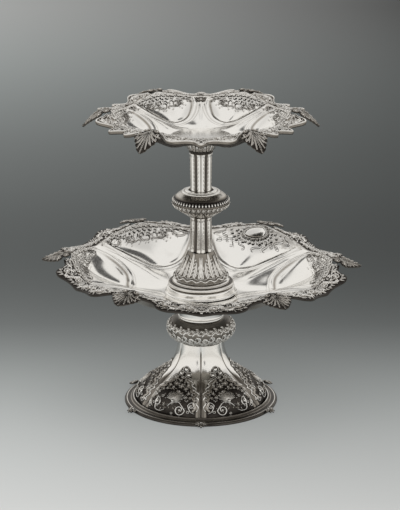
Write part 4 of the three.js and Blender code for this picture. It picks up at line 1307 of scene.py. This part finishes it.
LEAF_PLATE = (
    (0, 0.3), (0.22, 0.4), (0.34, 0.96), (0.46, 1.0), (0.6, 0.86), (0.76, 0.6), (0.9, 0.36), (0.97, 0.14),
)
LEAF_CROWN = 1 * MM
LEAF_FOLD = 2 * MM
LOWER_LEAF = {"length": 38.2 * MM, "half": 21 * MM, "droop": 9 * MM, "curl": 1.2}
UPPER_LEAF = {"length": 36 * MM, "half": 19 * MM, "droop": 22.5 * MM, "curl": 2.0}


def leaf_ornament(leaf):
    """Palmette that runs out to a point: veined fingers, scrolls beside the root and a shell over it."""
    d = Drawing()
    length = leaf["length"] / MM
    half = leaf["half"] / MM
    t = np.linspace(0, 1, 14)
    for across, along, width, bend in LEAF_FINGERS:
        tip = np.array([across * half, along * length])
        root = np.array([0.16 * across * half, 0.26 * length])
        middle = mix(root, tip, 0.5) + np.array([-bend * half, bend * length])
        path = through([root, middle, tip], t)
        swell = 0.45 + 0.6 * np.sin(math.pi * (0.12 + 0.8 * t))
        d.stroke(path, 0.72 * width * swell, 1.9 * (0.8 + 0.2 * t), VEINED)
    d.stroke([(0, -0.5), (0, 0.15 * length), (0, 0.32 * length)], [4.6, 4.4, 4.0], [1.4, 1.6, 1.8])
    d.scroll(0.3 * half, 0.2 * length, 20, 0.9, -1.6, (-4.2, -4.2), 1.0, 2.2, 1.6)
    d.scroll(0.56 * half, 0.4 * length, 15, 1.5, -1.4, (-3.8, -3.8), 0.85, 2.2, 1.5)
    d.bead(0, 0.26 * length, 2.3, 2.4)
    d.fan(0, 0.28 * length, 0.38 * length, math.pi / 2, 1.2, 5, 0.8, 2.4)
    for across, along in ((0.16, 0.72), (0.3, 0.62), (0.46, 0.54), (0.62, 0.46)):
        d.petal(across * half, along * length, 1.2 - 0.6 * across, 0.13 * length, 0.55, 1.6, PETAL, -0.3)
    return d.mirrored()


def border_leaf_mesh(sheet, size, leaf):
    """Palmette on its own scalloped plate."""
    surface = border_leaf_surface(sheet, size, leaf)
    rows = np.linspace(0.0, 0.97, 40)
    sides = np.linspace(-1, 1, 17)
    scallop = 1 - 0.12 * (0.5 + 0.5 * np.cos(rows * 52))
    half = np.interp(rows, *zip(*LEAF_PLATE)) * scallop
    u = half[:, None] * leaf["half"] * sides[None, :]
    v = rows[:, None] * leaf["length"] + 0 * u
    face, under = (lifted(surface, u, v, np.full(u.shape, lift), -1) for lift in (0.6 * MM, -0.8 * MM))
    points, faces = strip_faces(np.concatenate([face, under[:, ::-1]], 1))
    # Oxide and painted shade make the plate dark between the veined fingers; the fingers are darkened a
    # little too.
    plate = plain_mesh(points, faces, np.tile(np.repeat([0.97, 0.5], len(sides)), len(rows)))
    return joined([plate, raised(leaf_ornament(leaf), surface, side=-1, added_darkening=0.14)])


def border(stem, bowl, size, leaf, ornament):
    """Ring of border sections, each with its raised work, and the leaves between them."""
    sheet = bowl_outline(bowl)
    valley = LOBE_ANGLE / 2
    relief = raised(ornament(size), border_plane(sheet, size, valley), side=-1)
    section = joined([border_section_mesh(sheet, size, valley), relief])
    leaf_mesh = border_leaf_mesh(sheet, size, leaf)
    for plural, kind, mesh in (("sections", "section", section), ("leaves", "leaf", leaf_mesh)):
        ring = leaned(copies(mesh, "cast"), bowl)
        add_piece(f"{stem}_{plural}", ring, "cast", bowl["body"], six(f"{stem}_{kind}"))


# Seat, stem and collar


def bowl_seat():
    base = low("bowl_seat")
    ceiling = top("bowl_seat")
    flange = reach("bowl_seat")
    r = 45 * MM
    hole = 6 * MM
    loop = rounded([
        (hole, ceiling), (r - 3 * MM, ceiling), (r - 1 * MM, ceiling - 0.8 * MM), (r, ceiling - 3 * MM),
        (r + 0.2 * MM, base + 3 * MM), (r + 1 * MM, base + 1.6 * MM), (flange, base + 1.2 * MM),
        (flange, base), (r - 2 * MM, base), (r - 2 * MM, ceiling - 1.4 * MM), (hole, ceiling - 1.4 * MM),
    ])
    add_piece("seat", turned_mesh(loop, 180), "polished", LOWER_BODY, ["bowl_seat"])


def stem_foot():
    ring_low = low("stem_foot_ring")
    ring_top = top("stem_foot_ring")
    tube = (ring_top - ring_low) / 2
    middle_r = reach("stem_foot_ring") - tube
    angle = np.linspace(-math.pi / 2, math.pi / 2, 14)
    outer = np.stack([middle_r + tube * np.cos(angle), (ring_low + ring_top) / 2 + tube * np.sin(angle)], 1)
    # Painted shade: thin dark lines on the ring's underside and along its top.
    shade = 0.6 * bell(np.sin(angle), -0.7, 0.2) + 0.7 * bell(np.sin(angle), 0.98, 0.1) + 0.1
    mesh = turned_mesh([*outer, (35.5 * MM, ring_top), (35.5 * MM, ring_low)], 168, [*shade, 0.9, 0.9])
    add_piece("foot_ring", mesh, "polished", UPPER_BODY, ["stem_foot_ring"])
    curve = profile((reach("stem_foot"), low("stem_foot")), (16.4 * MM, top("stem_foot")), [
        (0, 0), (0.06, 0.05), (0.2, 0.1), (0.1, 0.16), (0.16, 0.22), (0.32, 0.31), (0.58, 0.5),
        (0.81, 0.76), (1, 1),
    ])

    # Painted shade: dark bands in the hollow above the ring and at the foot of the shell; above them the
    # chased ground under the leaves is dark with oxide.
    def added_darkening(t):
        steps = 0.85 * bell(t, 0.3, 0.05) + 0.5 * bell(t, 0.06, 0.03)
        return 0.05 + steps + 0.7 * smooth(t, 0.32, 0.42) * (1 - 0.3 * t)

    shell_piece("stem_foot_shell", curve, added_darkening, "chased", UPPER_BODY, "stem_foot", 70)
    d = Drawing()
    wave = np.linspace(-19.6, 19.6, 60)
    ripple = np.cos(wave * math.tau / 13.07)
    d.stroke(np.stack([wave, -3.2 - 1.3 * ripple], 1), 0.9, 1.3, BRIGHT_WIRE)
    d.stroke(np.stack([wave, 0.4 - 1.0 * ripple], 1), 0.6, 1.0, BRIGHT_WIRE)
    t = np.linspace(0, 1, 18)
    swell = np.sin(math.pi * np.clip(0.2 + 0.78 * t, 0, 1)) ** 0.8
    for u, length, width in (
        (0, 37, 4.0), (7.5, 22.94, 3.2), (-7.5, 22.94, 3.2), (14.5, 29.6, 3.4), (-14.5, 29.6, 3.4),
    ):
        path = np.stack([u * (1 - 0.25 * t), 1 + length * t], 1)
        d.stroke(path, width * swell * (1 - 0.35 * t), 1.5, VEINED)
    for side in (-1, 1):
        for v in (4, 9, 14, 19, 24):
            d.petal(side * 2.2, v, math.pi / 2 - side * 0.7, 7 - 0.1 * v, 1.3, 1.4, VEINED, side * 0.5)
        turn = math.pi / 2 * (1 - side) + 0.2 * side
        d.scroll(side * 8, 3.2, 15, turn, side * 1.6, (side * 3.2, side * 3.2), 0.9, 1.4, 1.3)
        d.flower(side * 9.6, 9, 2.6, 5, 0.2, 1.2)
        d.petal(side * 9.6, 12, math.pi / 2, 9, 1.4, 1.1, VEINED, -side * 0.3)
    band_relief("stem_foot_leaves", curve, d, LOBES, UPPER_BODY, 15 * MM)


def ribbed_stem(name, node, low_r, top_r):
    """Stem tube with a rib in line with each valley, and leaves chased up the ribs."""
    base = low(node)
    crown = top(node)
    t = np.linspace(0, 1, STEM_ROWS)[None, :]
    angle = round_angles(STEM_COLUMNS)
    from_lobe = 1 - valley_share(angle)
    groove = 0.5 * MM * bell(from_lobe, 0.0, 0.08)
    flare = 0.9 * MM * (bell(t, 0, 0.05) + bell(t, 1, 0.05))
    r = mix(low_r, top_r, t) - RIB_DEPTH * from_lobe**2.2 - groove + flare
    # Oxide and painted shade darken the channels between the ribs, and a painted dark line runs in the
    # groove along each rib.
    shade = 0.8 * smooth(from_lobe, 0.6, 0.8) + 0.85 * bell(from_lobe, 0.0, 0.07)
    shade = np.minimum(shade + 0 * t, 0.95)
    bore = np.stack([at(ROD_BORE, angle[:, 0], z) for z in (crown, base)], 1)
    loops = np.concatenate([at(r, angle, mix(base, crown, t)), bore], 1)
    shades = np.concatenate([shade, np.full((len(angle), 2), 0.7)], 1)
    add_piece(name, ring_mesh(loops, shades), "polished", UPPER_BODY, [node])

    def surface(u, v):
        a = u / low_r
        radius = mix(low_r, top_r, v / (crown - base)) - RIB_DEPTH * (1 - valley_share(a)) ** 2.2
        return at(radius, a, base + v)

    d = Drawing()
    rib = LOBE_ANGLE / 2 * low_r / MM
    for k in range(int((crown - base) / MM / 5.5)):
        for side in (1, -1):
            turn = math.pi / 2 + 0.35 * side
            d.petal(rib + 4.6 * side, 4 + 5.5 * k, turn, 5.0, 0.9, 0.6, VEINED, -0.6 * side)
    ring_piece(name + "_chasing", raised(d, surface), "chased", UPPER_BODY)


def collar():
    calyx_r = reach("collar_calyx")
    calyx_top = top("collar_calyx")
    widest = reach("collar_lower")
    seam = top("collar_lower")
    crown = top("collar_upper")
    calyx = profile((15 * MM, low("collar_calyx")), (calyx_r, calyx_top), [
        (0, 0), (0.12, 0.18), (0.3, 0.4), (0.7, 0.75), (1, 1),
    ])
    shell_piece("calyx_shell", calyx, lambda t: 0.7, "chased", UPPER_BODY, "collar_calyx")
    d = Drawing()
    for k in (-1, 1):
        d.petal(k * 3.4, 3, math.pi / 2 - 0.16 * k, 18, 2.6, 1.2, VEINED, 0.1 * k)
    d.petal(0, 1, math.pi / 2, 21, 3.2, 1.5, VEINED)
    band_relief("calyx_leaves", calyx, d, 12, UPPER_BODY)
    edge = (widest, seam + SEAM_GAP)
    band = profile((calyx_r, calyx_top + SEAM_GAP), edge, [(0, 0), (0.45, 0.22), (0.85, 0.6), (1, 1)])
    shell_piece("collar_band", band, lambda t: 0.55, "chased", UPPER_BODY, "collar_lower", 16)
    zig = Drawing()
    zig.stroke([(-2.7, 1.2), (-1.4, 4.2), (0, 6.6), (1.4, 4.2), (2.7, 1.2)], 0.75, 1.2, BRIGHT_WIRE)
    zig.petal(0, 1.0, math.pi / 2, 4.0, 0.9, 1.3, PETAL)
    zig.bead(2.7, 5.4, 0.9, 1.2)
    band_relief("collar_beading", band, zig, 34, UPPER_BODY)
    mouth = 17 * MM
    rise = crown - seam
    ledge = crown - 3 * MM
    shoulder = (widest - 2.5 * MM, seam + 0.3 * rise)
    t = np.linspace(0, 1, 90)
    steps = ((0.3, 0.56), (0.52, 0.76), (0.6, 0.79), (0.64, 0.88), (0.8, 0.9), (0.84, 0.98))
    outer = through([
        edge, (widest - 0.4 * MM, seam + 2 * MM), shoulder,
        *[(mix(widest, mouth, across), seam + up * rise) for across, up in steps], (mouth, crown),
    ], t)
    inner = [
        (mouth, ledge), (ROD_BORE, ledge), (ROD_BORE, ledge - 1.4 * MM),
        (widest - 8 * MM, ledge - 2.4 * MM), (widest - 1.4 * MM, seam + SEAM_GAP),
    ]
    # Painted shade: dark low on the outside, grey up to the middle of the slope, and thin dark lines at two
    # of the steps above.
    shade = 0.85 * (1 - smooth(t, 0.22, 0.34)) + 0.3 * (1 - smooth(t, 0.5, 0.55))
    shade = shade + 0.4 * bell(t, 0.56, 0.03) + 0.4 * bell(t, 0.76, 0.03)
    mesh = turned_mesh([*outer, *inner], 168, [*shade, 0.95, 0.95, 0.9, 0.9, 0.7])
    add_piece("collar_top", mesh, "polished", UPPER_BODY, ["collar_upper"])
    dots = Drawing()
    dots.petal(0, 0.4, math.pi / 2, 5.4, 1.2, 1.0, PETAL)
    step = profile(edge, shoulder, [(0, 0), (0.2, 0.4), (1, 1)])
    band_relief("collar_dentils", step, dots, 54, UPPER_BODY)


def capital():
    curve = profile((15.1 * MM, low("stem_capital")), (reach("stem_capital"), top("stem_capital")), [
        (0, 0), (0.1, 0.05), (0.02, 0.1), (0.28, 0.36), (0.55, 0.7), (1, 1),
    ])
    shell_piece("capital_shell", curve, lambda t: 0.9, "chased", UPPER_BODY, "stem_capital")
    d = Drawing()
    d.petal(0, 2, math.pi / 2, 17, 3.4, 1.7, VEINED)
    for side in (-1, 1):
        d.petal(side * 2.6, 2.5, math.pi / 2 - side * 0.42, 12, 2.0, 1.4, VEINED, side * 0.4)
    band_relief("capital_leaves", curve, d, 12, UPPER_BODY, 2 * MM)


# Stage

PAPER_CORNERS = [(-5, -6, 0), (5, -6, 0), (5, 2.8, 0), (-5, 2.8, 0)]
PAPER_DEPTH = (-0.5, 2.5)
PAPER_NEAR = (0.8, 0.8, 0.79)
PAPER_FAR = (0.4, 0.405, 0.4)
PAPER_PALE = (0.88, 0.87, 0.84)
PAPER_GLOW = 0.6
# Grey of the paper by depth: the dark band behind the piece is painted shade
PAPER_TONES = (
    (0.05, 0.66), (0.13, 0.55), (0.2, 0.36), (0.27, 0.15), (0.38, 0.1), (0.5, 0.14), (0.65, 0.21),
    (0.82, 0.34),
)
TENT_TONES = (
    (0.0, (0.7, 0.68, 0.64)), (0.12, (0.93, 0.91, 0.87)), (0.5, (0.95, 0.935, 0.905)),
    (1.0, (0.93, 0.92, 0.9)),
)
TENT_STRENGTH = 0.9
# Soft dark parts of the room: direction, cosine at the edge, cosine at the core, grey, how much
ROOM_GAPS = (
    ((0, -0.93, 0.36), 0.988, 0.997, 0.1, 0.9),
    ((0, 0.997, 0.08), 0.93, 0.985, 0.3, 0.55),
    ((-0.62, 0.25, 0.74), 0.86, 0.98, 0.2, 0.35),
    ((0.62, 0.25, 0.74), 0.86, 0.98, 0.2, 0.35),
    ((0.36, 0.78, 0.51), 0.9885, 0.9925, 0.02, 0.92),
    ((-0.18, 0.62, 0.76), 0.991, 0.995, 0.02, 0.88),
    ((0.03, 0.72, 0.69), 0.9965, 0.999, 0.3, 0.5),
)
# Soft boxes: name, place, what they face, size, watts, colour
LAMPS = (
    ("top_box", (-0.5, 0.1, 2.4), (0, 0, 0.3), (2.2, 2.0), 11, (1, 0.99, 0.97)),
    ("side_box", (1.9, -0.3, 1.3), (0, 0, 0.25), (1.0, 1.6), 4, (0.98, 0.99, 1)),
)
CAMERA_X = -0.001206
STRIP_START = 3.2


def stage_floor():
    """Flat sheet of paper: pale in front, with painted shade darker behind the piece and to the right, and
    pale again off to the sides.
    """
    mesh = bpy.data.meshes.new("paper")
    mesh.from_pydata(PAPER_CORNERS, [], [(0, 1, 2, 3)])
    material, tree, shader = new_material("studio_paper")
    where = add_node(tree, "ShaderNodeTexCoord")["Object"]
    parts = add_node(tree, "ShaderNodeSeparateXYZ", {"Vector": where})
    tones = [(0.0, PAPER_NEAR)]
    for place, grey in PAPER_TONES:
        tones.append((place, ((0.99 - 0.055 * min(1.0, place / 0.25)) * grey, grey, 0.99 * grey)))
    tones.append((1.0, PAPER_FAR))
    paper = ramp(tree, stretch(tree, parts["Y"], *PAPER_DEPTH), tones, "B_SPLINE")
    across = maths(tree, "DIVIDE", parts["X"], maths(tree, "ADD", parts["Y"], STRIP_START))
    # Painted shade: the paper darkens to the right and further back.
    right = stretch(tree, across, -0.08, 0.08)
    behind = stretch(tree, parts["Y"], *PAPER_DEPTH, 0.1, 0.75)
    shaded = tinted(tree, maths(tree, "MULTIPLY", right, behind), paper, (0, 0, 0))
    aside = stretch(tree, maths(tree, "ABSOLUTE", across), 0.09, 0.36, kind="SMOOTHSTEP")
    colour = tinted(tree, aside, shaded, PAPER_PALE)
    fill(tree, shader, {"Base Color": colour, "Roughness": 0.9, "Specular IOR Level": 0.1})
    glow = add_node(tree, "ShaderNodeEmission", {"Color": colour})["Emission"]
    ray = add_node(tree, "ShaderNodeLightPath")
    seen = maths(tree, "MAXIMUM", ray["Is Camera Ray"], ray["Is Glossy Ray"])
    share = maths(tree, "MULTIPLY", seen, PAPER_GLOW)
    both = add_node(tree, "ShaderNodeMixShader", {0: share, 1: shader.outputs["BSDF"], 2: glow})["Shader"]
    fill(tree, tree.nodes["Material Output"], {"Surface": both})
    mesh.materials.append(material)
    new_object("studio_paper", mesh)


def lamp(name, place, aim, size, watts, colour):
    light = bpy.data.lights.new(name, "AREA")
    light.shape = "RECTANGLE"
    light.size, light.size_y = size
    light.energy = watts
    light.color = colour
    obj = new_object(name, light)
    obj.location = place
    direction = np.array(aim) - np.array(place)
    yaw = math.atan2(direction[1], direction[0])
    down = math.atan2(-direction[2], math.hypot(direction[0], direction[1]))
    obj.rotation_euler = (math.pi / 2 - down, 0, yaw - math.pi / 2)
    obj.visible_glossy = False


def studio_world():
    """White tent all round, with soft dark gaps in it and an opening where the camera stands."""
    world = bpy.data.worlds.new("studio")
    bpy.context.scene.world = world
    world.use_nodes = True
    tree = world.node_tree
    where = add_node(tree, "ShaderNodeTexCoord")["Generated"]
    colour = ramp(tree, add_node(tree, "ShaderNodeSeparateXYZ", {"Vector": where})["Z"], TENT_TONES)
    for direction, edge, core, grey, amount in ROOM_GAPS:
        near = add_node(tree, "ShaderNodeVectorMath", {0: where, 1: direction}, operation="DOT_PRODUCT")
        share = stretch(tree, near["Value"], edge, core, 0.0, amount, "SMOOTHSTEP")
        colour = tinted(tree, share, colour, (grey, grey, grey))
    fill(tree, tree.nodes["Background"], {"Color": colour, "Strength": TENT_STRENGTH})


def studio_camera(sizes):
    camera = bpy.data.cameras.new("camera")
    camera.lens = sizes.lens
    camera.sensor_width = 36
    camera.clip_end = 50
    obj = new_object("camera", camera)
    obj.location = (CAMERA_X, -sizes.camera_distance, sizes.camera_height)
    obj.rotation_euler = (math.pi / 2 - sizes.camera_pitch, 0, 0)
    bpy.context.scene.camera = obj


# Operators


class PieceOperator:
    """Shared poll of the piece operators."""

    bl_options = {"REGISTER"}

    @classmethod
    def poll(cls, context):
        return bool(frame["nodes"])


class CENTREPIECE_OT_foot(PieceOperator, bpy.types.Operator):
    """Make the foot: rim moulding, bosses, lobed dome and its chased panels"""

    bl_idname = "centrepiece.foot"
    bl_label = "Foot"

    def execute(self, context):
        rim_moulding()
        rim_bosses()
        foot_dome()
        return {"FINISHED"}


class CENTREPIECE_OT_knop(PieceOperator, bpy.types.Operator):
    """Make the knop with its chased band, and the plain collet"""

    bl_idname = "centrepiece.knop"
    bl_label = "Knop and collet"

    def execute(self, context):
        knop()
        collet()
        return {"FINISHED"}


class CENTREPIECE_OT_bowls(PieceOperator, bpy.types.Operator):
    """Make the raised sheets of the lower bowl and the upper dish, with their sprays"""

    bl_idname = "centrepiece.bowls"
    bl_label = "Bowls"

    def execute(self, context):
        lower_bowl()
        upper_dish()
        bowl_floor("lower_bowl_floor", LOWER_BOWL)
        bowl_floor("upper_dish_floor", UPPER_DISH)
        bowl_seat()
        return {"FINISHED"}


class CENTREPIECE_OT_borders(PieceOperator, bpy.types.Operator):
    """Make the cast border sections and leaves of both bowls"""

    bl_idname = "centrepiece.borders"
    bl_label = "Borders"

    def execute(self, context):
        border("lower_border", LOWER_BOWL, LOWER_BORDER, LOWER_LEAF, lower_border_ornament)
        border("upper_border", UPPER_DISH, UPPER_BORDER, UPPER_LEAF, upper_border_ornament)
        return {"FINISHED"}


class CENTREPIECE_OT_stem(PieceOperator, bpy.types.Operator):
    """Make the stem: its leafy foot, two ribbed tubes, the collar and the capital"""

    bl_idname = "centrepiece.stem"
    bl_label = "Stem"

    def execute(self, context):
        stem_foot()
        ribbed_stem("lower_stem_tube", "lower_stem", 15.8 * MM, 14.2 * MM)
        ribbed_stem("upper_stem_tube", "upper_stem", 14.1 * MM, 15.1 * MM)
        collar()
        capital()
        return {"FINISHED"}


class CENTREPIECE_OT_fastening(PieceOperator, bpy.types.Operator):
    """Give the rod, plate, washer and wing nut their turned steel finish"""

    bl_idname = "centrepiece.fastening"
    bl_label = "Fastening"

    def execute(self, context):
        material = steel_material()
        for node in ("dish_boss", "tie_rod", "clamp_plate", "clamp_washer", "wing_nut"):
            obj = frame["nodes"][node]
            obj.data.materials.clear()
            obj.data.materials.append(material)
        return {"FINISHED"}


class CENTREPIECE_OT_stage(bpy.types.Operator):
    """Make the studio: flat paper floor, soft lamps, surround and camera"""

    bl_idname = "centrepiece.stage"
    bl_label = "Stage"

    def execute(self, context):
        stage_floor()
        studio_world()
        for row in LAMPS:
            lamp(*row)
        studio_camera(context.scene.centrepiece_stage)
        context.scene.view_settings.view_transform = "Standard"
        return {"FINISHED"}


STEPS = ("foot", "knop", "bowls", "borders", "stem", "fastening", "stage")


class CENTREPIECE_PT_panel(bpy.types.Panel):
    bl_idname = "CENTREPIECE_PT_panel"
    bl_label = "Silver Centrepiece"
    bl_space_type = "VIEW_3D"
    bl_region_type = "UI"
    bl_category = "Centrepiece"

    def draw(self, context):
        scene = context.scene
        for group in (scene.centrepiece_silver, scene.centrepiece_sheet, scene.centrepiece_stage):
            for name in group.__annotations__:
                self.layout.prop(group, name)
        for step in STEPS:
            self.layout.operator("centrepiece." + step)


GROUPS = (
    ("centrepiece_silver", CENTREPIECE_PG_silver),
    ("centrepiece_sheet", CENTREPIECE_PG_sheet),
    ("centrepiece_stage", CENTREPIECE_PG_stage),
)
CLASSES = (
    CENTREPIECE_OT_foot, CENTREPIECE_OT_knop, CENTREPIECE_OT_bowls, CENTREPIECE_OT_borders,
    CENTREPIECE_OT_stem, CENTREPIECE_OT_fastening, CENTREPIECE_OT_stage, CENTREPIECE_PT_panel,
)


def register():
    for name, group in GROUPS:
        bpy.utils.register_class(group)
        setattr(bpy.types.Scene, name, bpy.props.PointerProperty(type=group))
    for cls in CLASSES:
        bpy.utils.register_class(cls)


def unregister():
    for cls in reversed(CLASSES):
        bpy.utils.unregister_class(cls)
    for name, group in reversed(GROUPS):
        delattr(bpy.types.Scene, name)
        bpy.utils.unregister_class(group)


def main():
    register()
    for step in STEPS:
        getattr(bpy.ops.centrepiece, step)()


if __name__ == "__main__":
    main()
